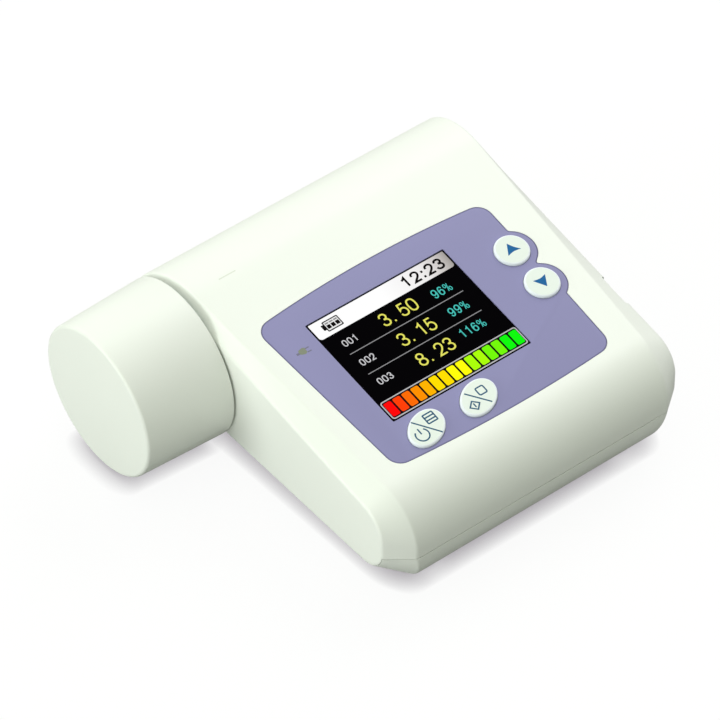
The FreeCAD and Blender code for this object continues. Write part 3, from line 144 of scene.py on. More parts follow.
def moved(outline, x, y):
    return [(px + x, py + y) for px, py in outline]


# Meshes
def finish(piece, material, angle=32):
    piece.data.materials.clear()
    if material:
        piece.data.materials.append(material)
    piece.data.shade_smooth()
    piece.data.set_sharp_from_angle(angle=math.radians(angle))
    return piece


def newPiece(name, points, faces, material=None, angle=32):
    mesh = bpy.data.meshes.new(name)
    mesh.from_pydata([Vector(point) * mm for point in points], [], faces)
    work = bmesh.new()
    work.from_mesh(mesh)
    bmesh.ops.remove_doubles(work, verts=work.verts, dist=0.0005 * mm)
    bmesh.ops.recalc_face_normals(work, faces=work.faces)
    work.to_mesh(mesh)
    work.free()
    piece = bpy.data.objects.new(name, mesh)
    scene.collection.objects.link(piece)
    return finish(piece, material, angle)


def stacked(name, rings, material=None, angle=32):
    # closed rings of equal count, joined in order and capped at both ends
    count = len(rings[0])
    points = [point for ring in rings for point in ring]
    faces = []
    for level in range(len(rings) - 1):
        for index in range(count):
            after = (index + 1) % count
            low, high = level * count, (level + 1) * count
            faces.append((low + index, low + after, high + after, high + index))
    faces.append(tuple(reversed(range(count))))
    faces.append(tuple(range((len(rings) - 1) * count, len(rings) * count)))
    return newPiece(name, points, faces, material, angle)


def turned(name, outline, material=None, steps=144, angle=32):
    # outline is (x, radius), closed, turned about the flow tube
    points, faces = [], []
    count = len(outline)
    for step in range(steps):
        turn = 2 * math.pi * step / steps
        for x, radius in outline:
            points.append((x, tubeY + radius * math.cos(turn), tubeZ + radius * math.sin(turn)))
    for step in range(steps):
        here, there = step * count, (step + 1) % steps * count
        for index in range(count):
            after = (index + 1) % count
            faces.append((here + index, here + after, there + after, there + index))
    piece = newPiece(name, points, faces, material, angle)
    work = bmesh.new()
    work.from_mesh(piece.data)
    bmesh.ops.dissolve_degenerate(work, dist=0.0005 * mm, edges=work.edges)
    bmesh.ops.recalc_face_normals(work, faces=work.faces)
    work.to_mesh(piece.data)
    work.free()
    return finish(piece, material, angle)


def onPanel(piece):
    # from the panel's own plane to its place on the slope
    piece.data.transform(Matrix.Scale(mm, 4) @ panelPlace @ Matrix.Scale(1 / mm, 4))
    return piece


def slab(name, outline, low, high, material=None, edge=0.0):
    # a flat outline in the panel's plane, from one level to another, with a softened upper edge
    levels = [(low, 0.0), (high, 0.0)]
    if edge:
        levels = [(low, 0.0)] + [(high - edge + edge * math.sin(turn), edge * (1 - math.cos(turn)))
                                 for turn in (0, math.pi / 8, math.pi / 4, 3 * math.pi / 8, math.pi / 2)]
    rings = []
    for level, inset in levels:
        rings.append([(x, y, level) for x, y in insetOutline(outline, inset)])
    return onPanel(stacked(name, rings, material))


def insetOutline(outline, inset):
    if not inset:
        return outline
    count = len(outline)
    area = sum(outline[index - 1][0] * outline[index][1] - outline[index][0] * outline[index - 1][1]
               for index in range(count))
    side = 1 if area > 0 else -1
    result = []
    for index in range(count):
        along = Vector(outline[(index + 1) % count]) - Vector(outline[index - 1])
        along.normalize()
        x, y = outline[index]
        result.append((x - side * along.y * inset, y + side * along.x * inset))
    return result


def ribbon(path, width, closed=False):
    # left and right sides of a line of points, with mitred corners
    count = len(path)
    sides = []
    for index, point in enumerate(path):
        here = Vector(point)
        before = Vector(path[index - 1]) if index or closed else None
        after = Vector(path[(index + 1) % count]) if index < count - 1 or closed else None
        first = (here - before).normalized() if before is not None else (after - here).normalized()
        second = (after - here).normalized() if after is not None else first
        mitre = Vector((-first.y - second.y, first.x + second.x)).normalized()
        reach = width / 2 / max(mitre.dot(Vector((-first.y, first.x))), 0.4)
        sides.append((here + mitre * reach, here - mitre * reach))
    return sides


def drawLines(name, paths, width, low, high, material, middle=(0, 0)):
    # each path is (points, closed), drawn as a raised line in the panel's plane
    points, faces = [], []
    for path, closed in paths:
        sides = ribbon(path, width, closed)
        first, count = len(points), len(sides)
        for left, right in sides:
            for side, level in ((left, low), (right, low), (right, high), (left, high)):
                points.append((side.x + middle[0], side.y + middle[1], level))
        for index in range(count if closed else count - 1):
            here, there = first + index * 4, first + (index + 1) % count * 4
            for corner in range(4):
                after = (corner + 1) % 4
                faces.append((here + corner, here + after, there + after, there + corner))
        if not closed:
            faces.append((first, first + 1, first + 2, first + 3))
            last = first + (count - 1) * 4
            faces.append((last + 3, last + 2, last + 1, last))
    return onPanel(newPiece(name, points, faces, material, angle=20))


def smooth(points, steps=6):
    # a curve through all the points
    ends = [points[0]] + list(points) + [points[-1]]
    path = []
    for index in range(1, len(ends) - 2):
        before, start, end, after = (Vector(point) for point in ends[index - 1:index + 3])
        for step in range(steps):
            share = step / steps
            path.append(tuple(0.5 * (2 * start + (end - before) * share
                                     + (2 * before - 5 * start + 4 * end - after) * share ** 2
                                     + (3 * start - before - 3 * end + after) * share ** 3)))
    path.append(tuple(points[-1]))
    return path


def settle(piece):
    # turn the evaluated object into a plain mesh and drop its modifiers
    graph = bpy.context.evaluated_depsgraph_get()
    mesh = bpy.data.meshes.new_from_object(piece.evaluated_get(graph))
    piece.modifiers.clear()
    piece.data = mesh
    return piece


def carve(piece, tools):
    for tool in tools:
        modifier = piece.modifiers.new("carve", "BOOLEAN")
        modifier.solver = "EXACT"
        modifier.operation = "DIFFERENCE"
        modifier.object = tool
        bpy.context.view_layer.update()
        settle(piece)
    for tool in tools:
        bpy.data.objects.remove(tool)
    return piece


def blockTool(name, low, high):
    x0, y0, z0 = low
    x1, y1, z1 = high
    points = [(x, y, z) for x in (x0, x1) for y in (y0, y1) for z in (z0, z1)]
    faces = [(0, 1, 3, 2), (4, 6, 7, 5), (0, 4, 5, 1), (2, 3, 7, 6), (0, 2, 6, 4), (1, 5, 7, 3)]
    return newPiece(name, points, faces)


# Shader maths: a socket that adds its nodes when it is used in an expression
class Wire:
    def __init__(self, tree, socket):
        self.tree = tree
        self.socket = socket

    def maths(self, operation, first, second):
        return self.tree.node("ShaderNodeMath", {"operation": operation}, {0: first, 1: second})["Value"]

    def __add__(self, other):
        return self.maths("ADD", self, other)

    def __radd__(self, other):
        return self.maths("ADD", other, self)

    def __sub__(self, other):
        return self.maths("SUBTRACT", self, other)

    def __rsub__(self, other):
        return self.maths("SUBTRACT", other, self)

    def __mul__(self, other):
        return self.maths("MULTIPLY", self, other)

    def __rmul__(self, other):
        return self.maths("MULTIPLY", other, self)

    def __truediv__(self, other):
        return self.maths("DIVIDE", self, other)


class Outputs:
    def __init__(self, tree, made):
        self.tree = tree
        self.made = made

    def __getitem__(self, key):
        return Wire(self.tree, self.made.outputs[key])


class Tree:
    def __init__(self, held):
        self.nodes = held.nodes
        self.links = held.links

    def node(self, kind, settings=None, sockets=None):
        made = self.nodes.new(kind)
        for key, value in (settings or {}).items():
            if key == "stops":
                ramp = made.color_ramp
                while len(ramp.elements) < len(value):
                    ramp.elements.new(0.5)
                for element, (position, tone) in zip(ramp.elements, value):
                    element.position = position
                    element.color = tone
            elif key == "interpolation":
                made.color_ramp.interpolation = value
            else:
                setattr(made, key, value)
        for key, value in (sockets or {}).items():
            if isinstance(value, Wire):
                self.links.new(value.socket, made.inputs[key])
            else:
                made.inputs[key].default_value = value
        return Outputs(self, made)


class Paint(Tree):
    def __init__(self, name, world=False):
        self.owner = bpy.data.worlds.new(name) if world else bpy.data.materials.new(name)
        self.owner.use_nodes = True
        super().__init__(self.owner.node_tree)
        self.nodes.clear()
        self.output = self.nodes.new("ShaderNodeOutputWorld" if world else "ShaderNodeOutputMaterial")

    def surface(self, shader):
        self.links.new(shader.socket, self.output.inputs["Surface"])
        return self.owner

    def principled(self, sockets):
        return self.surface(self.node("ShaderNodeBsdfPrincipled", {}, sockets)["BSDF"])

    def place(self):
        return self.node("ShaderNodeTexCoord")["Object"]

    def noise(self, scale, detail=3.0):
        # scale is in grains per millimetre
        return self.node("ShaderNodeTexNoise", {}, {"Vector": self.place(), "Scale": scale / mm,
                                                    "Detail": detail})["Fac"]

    def mixColour(self, share, first, second):
        # the colour sockets of this node have the same names as its other sockets, so they go by number
        return self.node("ShaderNodeMix", {"data_type": "RGBA"}, {0: share, 6: first, 7: second})[2]

    def bump(self, height, strength, distance):
        return self.node("ShaderNodeBump", {}, {"Height": height, "Strength": strength,
                                                "Distance": distance * mm})["Normal"]


def colour(red, green, blue):
    # a colour as it is read off a picture, 0 to 255
    def linear(value):
        share = value / 255
        return share / 12.92 if share <= 0.04045 else ((share + 0.055) / 1.055) ** 2.4
    return (linear(red), linear(green), linear(blue), 1.0)


def darker(base, share):
    return tuple(channel * share for channel in base[:3]) + (1.0,)


def mouldedPlastic(name, base, rough=0.42, grain=9.0, depth=0.012, tint=0.02, shine=0.5):
    paint = Paint(name)
    fine = paint.noise(grain, detail=2.0)
    cloud = paint.noise(0.05, detail=2.0)
    return paint.principled({
        "Base Color": paint.mixColour(cloud, darker(base, 1 - tint), base),
        "Roughness": rough + (fine - 0.5) * 0.12,
        "Specular IOR Level": shine,
        "Normal": paint.bump(fine, 0.35, depth)})


def printedInk(name, base, rough=0.5):
    paint = Paint(name)
    shade = paint.noise(2.0, detail=2.0)
    return paint.principled({
        "Base Color": paint.mixColour(shade, darker(base, 0.93), base),
        "Roughness": rough + (shade - 0.5) * 0.1,
        "Specular IOR Level": 0.15})


unlit = (0.001, 0.001, 0.001, 1.0)


def litPixels(name, base):
    paint = Paint(name)
    glow = paint.noise(3.0, detail=1.0)
    return paint.principled({
        "Base Color": unlit, "Roughness": 0.4 + (glow - 0.5) * 0.05, "Specular IOR Level": 0.0,
        "Emission Color": paint.mixColour(glow, darker(base, 0.94), base), "Emission Strength": 1.0})


housingPlastic = mouldedPlastic("housingPlastic", colour(244, 246, 241))
capPlastic = mouldedPlastic("capPlastic", colour(243, 245, 240))
lilacFilm = mouldedPlastic("lilacFilm", colour(143, 140, 185), rough=0.55, grain=6.0, depth=0.006,
                           tint=0.03, shine=0.3)
# key heads are lighter and bluer than their faces: painted highlight where the rounded rim shows round the
# face
keyPlasticPaintedHighlight = mouldedPlastic("keyPlasticPaintedHighlight", colour(240, 245, 252), rough=0.38, grain=6.0, depth=0.004,
                            tint=0.01)
keyFace = mouldedPlastic("keyFace", colour(232, 240, 234), rough=0.5, grain=6.0, depth=0.003)
blueInk = printedInk("blueInk", colour(0, 98, 162))
tealInk = printedInk("tealInk", colour(24, 86, 122))
lampOlive = printedInk("lampOlive", colour(134, 140, 122), rough=0.45)
lampShade = printedInk("lampShade", colour(120, 118, 142), rough=0.45)
screenBlack = litPixels("screenBlack", colour(3, 2, 4))
print("first materials made")

# Housing: one profile swept along the tube, with bevels that widen towards the front
housing = {
    "radius": tubeZ, "slope": panel["slope"], "reach": tubeY - cadLow.y / mm,
    "nose": 12.0, "heel": 11.2, "base": 0.0,
    "wall": 2.0, "parting": 11.7, "seam": 0.22,
    "under": 2.8,                            # how far the sides draw in below the parting line
    "bevelReach": 1.6, "taper": math.radians(3.4), "endPlate": 2.4, "cavityInset": 1.3,
    "faceEdge": 0.7, "bevelEdge": 0.5,       # softening of the two bevel edges
    "softShare": 0.35,                       # most of a narrow bevel that its softened edges take
    "bore": 13.25, "roomGap": 0.1,
}
through = (-6.0, 5.0)                        # levels that a tool spans to cut through the panel
beyond = 200                                 # a tool's reach where it has no end
endFace = {"radius": 14.55, "slope": math.radians(9.8), "reach": housing["reach"] - 4.3, "nose": 6.6,
           "heel": 6.0, "base": 6.8}


def sideProfile(sizes, grow=0.0, roundSteps=64, cornerSteps=20, lineSteps=8):
    # y from the tube's middle and z, from the round's foot over the back, slope and front to the foot again
    radius, lean = sizes["radius"] + grow, sizes["slope"]
    nose, heel = sizes["nose"] + grow, sizes["heel"] + grow
    reach, base = sizes["reach"] + grow, sizes["base"] - grow
    tangent = Vector((-radius * math.sin(lean), tubeZ + radius * math.cos(lean)))
    run = (tangent.x + math.sin(lean) * nose + reach - nose) / math.cos(lean)
    noseStart = tangent - Vector((math.cos(lean), math.sin(lean))) * run
    noseMiddle = noseStart - Vector((-math.sin(lean), math.cos(lean))) * nose
    heelMiddle = Vector((heel - reach, base + heel))
    foot = Vector((-math.sqrt(max(radius ** 2 - (tubeZ - base) ** 2, 0.0)), base))
    outline = arc((0, tubeZ), radius, math.atan2(foot.y - tubeZ, foot.x), math.pi / 2 + lean, roundSteps)

    def straight(start, end):
        outline.extend(tuple(start.lerp(end, step / lineSteps)) for step in range(1, lineSteps))

    straight(tangent, noseStart)
    outline.extend(arc(noseMiddle, nose, math.pi / 2 + lean, math.pi, cornerSteps))
    straight(Vector((-reach, noseMiddle.y)), Vector((-reach, heelMiddle.y)))
    outline.extend(arc(heelMiddle, heel, math.pi, 1.5 * math.pi, cornerSteps))
    straight(Vector((heelMiddle.x, base)), foot)
    return outline


def softened(start, corner, end, steps=6):
    # a curve that leaves the corner out
    points = []
    for step in range(steps + 1):
        share = step / steps
        points.append(start * (1 - share) ** 2 + corner * (2 * share * (1 - share)) + end * share ** 2)
    return points


def sideInset(y, below, under):
    # how far a side lies in from its end face, at a depth below the parting line
    return housing["bevelReach"] - y * math.tan(housing["taper"]) + under * below / housing["parting"]


def housingForm(name, under):
    outer, face = sideProfile(housing), sideProfile(endFace)
    faceInner = sideProfile(endFace, -housing["faceEdge"])
    columns = []
    for (oy, oz), (fy, fz), (iy, iz) in zip(outer, face, faceInner):
        bevel = sideInset(oy, max(housing["parting"] - oz, 0), under)
        column = []
        for side, x in ((1, endLeft), (-1, endRight)):
            inner = Vector((x, iy + tubeY, iz))
            edge = Vector((x, fy + tubeY, fz))
            outerEdge = Vector((x + side * bevel, oy + tubeY, oz))
            down = (outerEdge - edge).normalized()
            along = Vector((side, 0, 0))
            most = (outerEdge - edge).length * housing["softShare"]
            faceEdge = min(housing["faceEdge"], most)
            bevelEdge = min(housing["bevelEdge"], most)
            half = softened(inner, edge, edge + down * faceEdge)
            half += softened(outerEdge - down * bevelEdge, outerEdge, outerEdge + along * bevelEdge)
            column.append(half)
        columns.append(column[0] + list(reversed(column[1])))
    rings = [[column[level] for column in columns] for level in range(len(columns[0]))]
    return stacked(name, rings)


def prism(name, sizes, grow, xLow, xHigh):
    outline = sideProfile(sizes, grow)
    return stacked(name, [[(x, y + tubeY, z) for y, z in outline] for x in (xLow, xHigh)])


def cylinderTool(name, radius, xLow, xHigh, steps=144):
    return stacked(name, [[(x, y, z) for y, z in circle((tubeY, tubeZ), radius, steps)]
                          for x in (xLow, xHigh)])


def cavityForm(name, under):
    outline = sideProfile(housing, -housing["wall"])
    inset = housing["cavityInset"]
    sides = []
    for start, way in ((endLeft, 1), (endRight, -1)):
        sides.append([(start + way * (inset + sideInset(y, housing["parting"] - z, under)), y + tubeY, z)
                      for y, z in outline])
    return stacked(name, sides)


def hollowTools(under):
    return [cavityForm("cavity", under), cylinderTool("bore", housing["bore"], endLeft - 1, endRight + 1),
            cylinderTool("seat", housing["radius"] - housing["wall"], sleeveLow.x, sleeveHigh.x)]


def endPlates(name, grow, gap):
    # the end faces' plates, or the rooms that the lower cover leaves for them
    thick = housing["endPlate"] + gap
    return [prism(name, endFace, grow, endLeft - thick, endLeft + thick),
            prism(name, endFace, grow, endRight - thick, endRight + thick)]


def upright(name, x, y, rings, material=None):
    # rings are (radius, z) about an upright line
    return stacked(name, [[(a, b, z) for a, b in circle((x, y), radius, 48)] for radius, z in rings],
                   material)


# Panel film outline: crowned upper edge, curved foot, and two lobes about the arrow keys
film = {
    "left": 26.92, "leftLow": 23.72, "right": 31.58, "rightLow": 31.38, "top": 18.94, "foot": 23.65,
    "footRise": 0.5,                         # how much higher the foot lies at its left end
    "crown": 265.0, "footCurve": 350.0, "corner": 3.3, "lobe": 5.05, "aside": 0.23, "down": 0.2,
    "gap": 0.09, "blend": 0.7, "edge": 0.09,
    "crownPlaces": range(-22, 28, 2), "footPlaces": range(26, -20, -2),
    "lobeTop": 14.0, "lobeStep": 0.2, "lobeSteps": 113,
}
keys = {
    "up_button": {"middle": (29.03, 6.01), "half": (3.8, 3.8), "tilt": 0.0, "body": "up_key"},
    "down_button": {"middle": (29.08, -3.76), "half": (3.8, 3.8), "tilt": 0.0, "body": "down_key"},
    "power_button": {"middle": (-13.04, -19.14), "half": (4.95, 3.55), "tilt": math.radians(28),
                     "body": "power_key"},
    "start_button": {"middle": (0.32, -19.04), "half": (4.95, 3.55), "tilt": math.radians(28),
                     "body": "start_key"},
}


def filmEdge(y):
    # right edge at a height: the straight edge and the two lobes, blended where they meet
    share = (film["top"] - y) / (film["top"] + film["foot"])
    places = [film["right"] + (film["rightLow"] - film["right"]) * share]
    for name in ("up_button", "down_button"):
        x0, y0 = keys[name]["middle"][0] + film["aside"], keys[name]["middle"][1] - film["down"]
        rest = film["lobe"] ** 2 - (y - y0) ** 2
        if rest > 0:
            places.append(x0 + math.sqrt(rest))
    best = places[0]
    for place in places[1:]:
        mix = max(film["blend"] - abs(best - place), 0) / film["blend"]
        best = max(best, place) + mix * mix * film["blend"] / 4
    return best


def filmOutline(grow=0.0):
    halfTop, halfFoot = (film["left"] + film["right"]) / 2, (film["leftLow"] + film["rightLow"]) / 2
    crownY = film["top"] - math.sqrt(film["crown"] ** 2 - halfTop ** 2)
    footY = math.sqrt(film["footCurve"] ** 2 - halfFoot ** 2) - film["foot"]
    crownX = (film["right"] - film["left"]) / 2
    footX = (film["rightLow"] - film["leftLow"]) / 2
    corners = [(-film["left"], film["top"], film["corner"])]
    for x in film["crownPlaces"]:
        corners.append((x, crownY + math.sqrt(film["crown"] ** 2 - (x - crownX) ** 2), 0))
    corners.append((film["right"], film["top"], film["corner"]))
    for step in range(film["lobeSteps"]):
        y = film["lobeTop"] - step * film["lobeStep"]
        corners.append((filmEdge(y), y, 0))
    corners.append((film["rightLow"], -film["foot"], film["corner"]))
    for x in film["footPlaces"]:
        rise = film["footRise"] * (film["rightLow"] - x) / (film["rightLow"] + film["leftLow"])
        corners.append((x, footY - math.sqrt(film["footCurve"] ** 2 - (x - footX) ** 2) + rise, 0))
    corners.append((-film["leftLow"], film["footRise"] - film["foot"], film["corner"]))
    return insetOutline(rounded(corners, 8), -grow)


def keyOutline(name, grow=0.0):
    key = keys[name]
    return moved(ellipse(key["half"][0] + grow, key["half"][1] + grow, key["tilt"]), *key["middle"])


window = {"width": 35.3, "height": 28.3, "gap": 0.06, "ledge": 0.5}
keyGap = {"housing": 0.08, "film": 0.1}
lamp = {"middle": (-22.0, 9.45), "radius": 1.2, "gap": 0.08, "low": -4.1, "high": -0.25, "mark": 0.006}


def leaned(outline):
    return [(x - y * panel["lean"], y) for x, y in outline]


def windowOutline(grow=0.0, corner=0.25):
    x, y = window["width"] / 2 + grow, window["height"] / 2 + grow
    return leaned(rounded([(-x, -y, corner), (x, -y, corner), (x, y, corner), (-x, y, corner)], 3))


# Upper housing and lower cover, parted by a seam
body = housingForm("upperHousing", 0.0)
lower = housingForm("lowerCover", housing["under"])
seamLow, seamHigh = housing["parting"] - housing["seam"] / 2, housing["parting"] + housing["seam"] / 2
belowSeam = blockTool("belowSeam", (-beyond, -beyond, -beyond), (beyond, beyond, seamHigh))
carve(belowSeam, endPlates("plate", 0.0, 0.0))
carve(body, [belowSeam] + hollowTools(0.0))
holes = [slab("recess", filmOutline(film["gap"]), -panel["depth"], through[1]),
         slab("screenHole", windowOutline(-window["ledge"]), *through)]
holes += [slab(name + "Hole", keyOutline(name, keyGap["housing"]), *through) for name in keys]
lampHole = lamp["radius"] + lamp["gap"]
holes += [slab("lampHole", moved(ellipse(lampHole, lampHole, 0), *lamp["middle"]), *through)]
socketMiddle = middleOf("charging_socket") - panelMiddle
socketAcross = socketMiddle.dot(panelUp)
socketDeep = socketMiddle.dot(panelOut)
slot = {"half": (4.05, 1.55), "corner": 0.5, "deep": 9.5, "out": 2.0}
slotOutline = rounded([(x * slot["half"][0], y * slot["half"][1], slot["corner"])
                       for x, y in ((-1, -1), (1, -1), (1, 1), (-1, 1))], 4)
slotRings = []
for x in (endRight - slot["deep"], endRight + slot["out"]):
    slotRings.append([tuple(panelMiddle + panelUp * (socketAcross + a) + panelOut * (socketDeep + b)
                            + Vector((x - panelMiddle.x, 0, 0))) for a, b in slotOutline])
holes.append(stacked("socketSlot", slotRings))
carve(body, holes)
print("upper housing carved")

aboveSeam = blockTool("aboveSeam", (-beyond, -beyond, seamLow), (beyond, beyond, beyond))
lowerTools = [aboveSeam] + endPlates("room", housing["seam"] / 2, housing["roomGap"])
lowerTools += hollowTools(housing["under"])
screws = {
    # x, y and the height of the head's seat; the first two are under the round heel
    "places": ((-14, -36.3, 3.9), (36, -36.3, 3.9), (-17.3, 5.6, 2.4), (38.9, 5.6, 2.4)),
    "pocket": 2.6, "head": 2.3, "height": 1.4, "edge": 0.3, "shank": 1.2, "top": 9.4,
    "slot": (1.35, 0.35, 0.6),               # half length, half width and depth
}
for x, y, seat in screws["places"]:
    lowerTools.append(upright("pocket", x, y, [(screws["pocket"], -1), (screws["pocket"], seat)]))
carve(lower, lowerTools)
for piece, node in ((body, "upper_housing"), (lower, "lower_cover")):
    finish(piece, housingPlastic, angle=24)
    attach(piece, "housing")
    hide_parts(node)
print("housing made")

# Panel film with its holes
filmPiece = slab("panelFilm", filmOutline(), -panel["depth"], 0.0, None, film["edge"])
filmCuts = [slab("windowHole", windowOutline(window["gap"]), *through)]
filmCuts += [slab(name + "Cut", keyOutline(name, keyGap["film"]), *through) for name in keys]
carve(filmPiece, filmCuts)
finish(filmPiece, lilacFilm, angle=30)
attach(filmPiece, "housing")
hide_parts("panel_overlay")

# Film's dark outline: painted shade of the recess gap and the rounded edge round the film
edgeShadeLine = {"inset": 0.1, "width": 0.17, "low": -0.3, "high": 0.004}
filmEdgeShade = drawLines("filmEdgeShade", [(filmOutline(-edgeShadeLine["inset"]), True)], edgeShadeLine["width"], edgeShadeLine["low"],
                     edgeShadeLine["high"], printedInk("filmShade", colour(112, 108, 152)))
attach(filmEdgeShade, "housing")

# Screen: a black window with the lit signs on it
screen = {"mask": -0.2, "pixels": -0.19, "lift": 0.012, "fill": 0.8}
mask = slab("screenMask", windowOutline(), -panel["depth"], screen["mask"], screenBlack)
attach(mask, "housing")
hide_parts("display_window")


def litLevel(level):
    # lower and upper side of one of the thin layers that the lit signs lie in
    low = screen["pixels"] + level * screen["lift"]
    return low, low + screen["lift"] * screen["fill"]


def litPiece(name, outline, material, level=0):
    piece = slab(name, leaned(outline), *litLevel(level), material)
    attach(piece, "housing")


def box(x0, y0, x1, y1, radius=0.0, lowRadius=None):
    lowRadius = radius if lowRadius is None else lowRadius
    return rounded([(x0, y0, lowRadius), (x1, y0, lowRadius), (x1, y1, radius), (x0, y1, radius)], 5)


def framed(sizes, corner, line=0.0, lowCorner=None):
    # the box that a settings dictionary gives, drawn in by the width of its line
    return box(sizes["left"] + line, sizes["low"] + line, sizes["right"] - line, sizes["high"] - line,
               corner, lowCorner)


def shownPaint(name, left, width, stops, cells=0):
    # lit colours that change along the screen, in steps when cells is given
    paint = Paint(name)
    x = paint.node("ShaderNodeSeparateXYZ", {}, {0: paint.place()})["X"]
    share = (x - (panelMiddle.x + left) * mm) / (width * mm)
    if cells:
        cell = paint.node("ShaderNodeMath", {"operation": "FLOOR"}, {0: share * cells})["Value"]
        share = (cell + 0.5) / cells
    ramp = paint.node("ShaderNodeValToRGB", {"stops": [(place, colour(*tone)) for place, tone in stops],
                                             "interpolation": "CONSTANT" if cells else "LINEAR"},
                      {"Fac": share})
    return paint.principled({
        "Base Color": unlit, "Roughness": 0.4, "Specular IOR Level": 0.0,
        "Emission Color": ramp["Color"], "Emission Strength": 1.0})


valueYellow = litPixels("valueYellow", colour(232, 230, 100))
shareCyan = litPixels("shareCyan", colour(74, 198, 188))
labelWhite = litPixels("labelWhite", colour(205, 205, 208))
ruleGrey = litPixels("ruleGrey", colour(150, 150, 152))
frameGrey = litPixels("frameGrey", colour(190, 190, 192))
inkBlack = litPixels("inkBlack", colour(14, 12, 12))
batteryPale = litPixels("batteryPale", colour(238, 238, 238))
batteryGrey = litPixels("batteryGrey", colour(150, 150, 150))

topBar = {"left": -17.2, "right": 17.3, "low": 9.6, "high": 13.9, "corner": 0.2, "lowCorner": 0.7,
          "fadeStart": 0.0}
litPiece("topBar", framed(topBar, topBar["corner"], lowCorner=topBar["lowCorner"]),
         shownPaint("barWhite", topBar["fadeStart"], topBar["right"] - topBar["fadeStart"], [
             (0.0, (255, 255, 255)), (0.6, (240, 238, 238)), (0.85, (205, 200, 198)),
             (1.0, (160, 155, 150))]))

# Plain digits, drawn as lines in a cell of one by one
signLevel = 3


def loop(x, y, halfWidth, halfHeight, steps):
    return [(x + halfWidth * px, y + halfHeight * py) for px, py in circle((0, 0), 1, steps)], True


loopSix = [(0.93, 0.8), (0.8, 0.95), (0.55, 1.0), (0.25, 0.93), (0.06, 0.68), (0.0, 0.4), (0.06, 0.15),
           (0.28, 0.01), (0.58, 0.0), (0.87, 0.1), (1.0, 0.3), (0.9, 0.52), (0.6, 0.61), (0.25, 0.54),
           (0.05, 0.36)]
digits = {
    "0": [(smooth([(0.5, 0), (0.14, 0.09), (0, 0.35), (0, 0.65), (0.14, 0.91), (0.5, 1), (0.86, 0.91),
                   (1, 0.65), (1, 0.35), (0.86, 0.09), (0.5, 0)])[:-1], True)],
    "1": [([(0.12, 0.78), (0.42, 0.87), (0.62, 1.0), (0.62, 0.0)], False)],
    "2": [(smooth([(0.03, 0.68), (0.12, 0.9), (0.42, 1.0), (0.75, 0.97), (0.95, 0.82), (0.93, 0.62),
                   (0.7, 0.4), (0.25, 0.15), (0.03, 0.0)]) + [(1.0, 0.0)], False)],
    "3": [(smooth([(0.04, 0.76), (0.15, 0.93), (0.45, 1.0), (0.78, 0.94), (0.92, 0.77), (0.78, 0.59),
                   (0.42, 0.53)]), False),
          (smooth([(0.42, 0.53), (0.82, 0.47), (1.0, 0.27), (0.86, 0.07), (0.5, 0.0), (0.15, 0.07),
                   (0.0, 0.24)]), False)],
    "5": [([(0.9, 1.0), (0.2, 1.0)]
           + smooth([(0.08, 0.5), (0.35, 0.63), (0.72, 0.61), (0.97, 0.42), (0.97, 0.2), (0.75, 0.03),
                     (0.4, 0.0), (0.1, 0.08), (0.0, 0.22)]), False)],
    "6": [(smooth(loopSix), False)],
    "8": [loop(0.5, 0.77, 0.42, 0.23, 28), loop(0.5, 0.27, 0.5, 0.27, 28)],
    "9": [(smooth([(1 - x, 1 - y) for x, y in loopSix]), False)],
    "%": [loop(0.2, 0.77, 0.2, 0.23, 20), loop(0.8, 0.23, 0.2, 0.23, 20),
          ([(0.7, 1.0), (0.3, 0.0)], False)],
}


def written(name, signs, size, width, material):
    # signs are (digit, middle x, middle y), and a dot is a small square
    paths = []
    across, height = size
    for sign, x, y in signs:
        if sign == ".":
            dotHalf = width * 0.55
            paths.append((leaned([(x, y - dotHalf), (x, y + dotHalf)]), False))
            continue
        for path, closed in digits[sign]:
            placed = [(x + (px - 0.5) * (across - width), y + (py - 0.5) * (height - width))
                      for px, py in path]
            paths.append((leaned(placed), closed))
    piece = drawLines(name, paths, width, *litLevel(signLevel), material)
    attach(piece, "housing")


clock = {"y": 11.75, "size": (2.05, 2.8), "line": 0.48, "dots": (12.1, 10.75), "dotX": 10.48,
         "digits": (("1", 6.2), ("2", 8.7), ("2", 12.33), ("3", 14.68))}
written("clockDigits", [(sign, x, clock["y"]) for sign, x in clock["digits"]], clock["size"], clock["line"],
        inkBlack)
written("clockDots", [(".", clock["dotX"], y) for y in clock["dots"]], clock["size"], clock["line"],
        inkBlack)
rows = [
    {"y": 6.68, "share": 6.15, "label": 6.45, "mark": "001", "value": "350", "part": "96%"},
    {"y": 0.76, "share": 0.71, "label": 0.83, "mark": "002", "value": "315", "part": "99%"},
    {"y": -5.18, "share": -4.71, "label": -4.8, "mark": "003", "value": "823", "part": "116%"},
]
values = {"places": (-3.27, 1.4, 3.72), "dot": -1.47, "drop": 1.36, "size": (2.02, 3.25), "line": 0.36}
shares = {"sign": 12.45, "last": 10.75, "pitch": 1.56, "size": (1.26, 2.2), "line": 0.27,
          "signSize": (1.6, 2.1), "signLine": 0.19}
labels = {"middle": -12.3, "pitch": 1.28, "size": (1.06, 1.7), "line": 0.24}
for number, row in enumerate(rows):
    written("value%d" % number,
            [(sign, x, row["y"]) for sign, x in zip(row["value"], values["places"])]
            + [(".", values["dot"], row["y"] - values["drop"])],
            values["size"], values["line"], valueYellow)
    figures = row["part"][:-1]
    written("share%d" % number,
            [(sign, shares["last"] - shares["pitch"] * (len(figures) - 1 - place), row["share"])
             for place, sign in enumerate(figures)], shares["size"], shares["line"], shareCyan)
    written("shareSign%d" % number, [("%", shares["sign"], row["share"])], shares["signSize"],
            shares["signLine"], shareCyan)
    written("label%d" % number,
            [(sign, labels["middle"] + labels["pitch"] * (place - 1), row["label"])
             for place, sign in enumerate(row["mark"])], labels["size"], labels["line"], labelWhite)
rule = {"left": -14.45, "right": 14.55, "half": 0.09, "places": (3.72, -2.15)}
for number, y in enumerate(rule["places"]):
    litPiece("rule%d" % number, box(rule["left"], y - rule["half"], rule["right"], y + rule["half"]),
             ruleGrey)

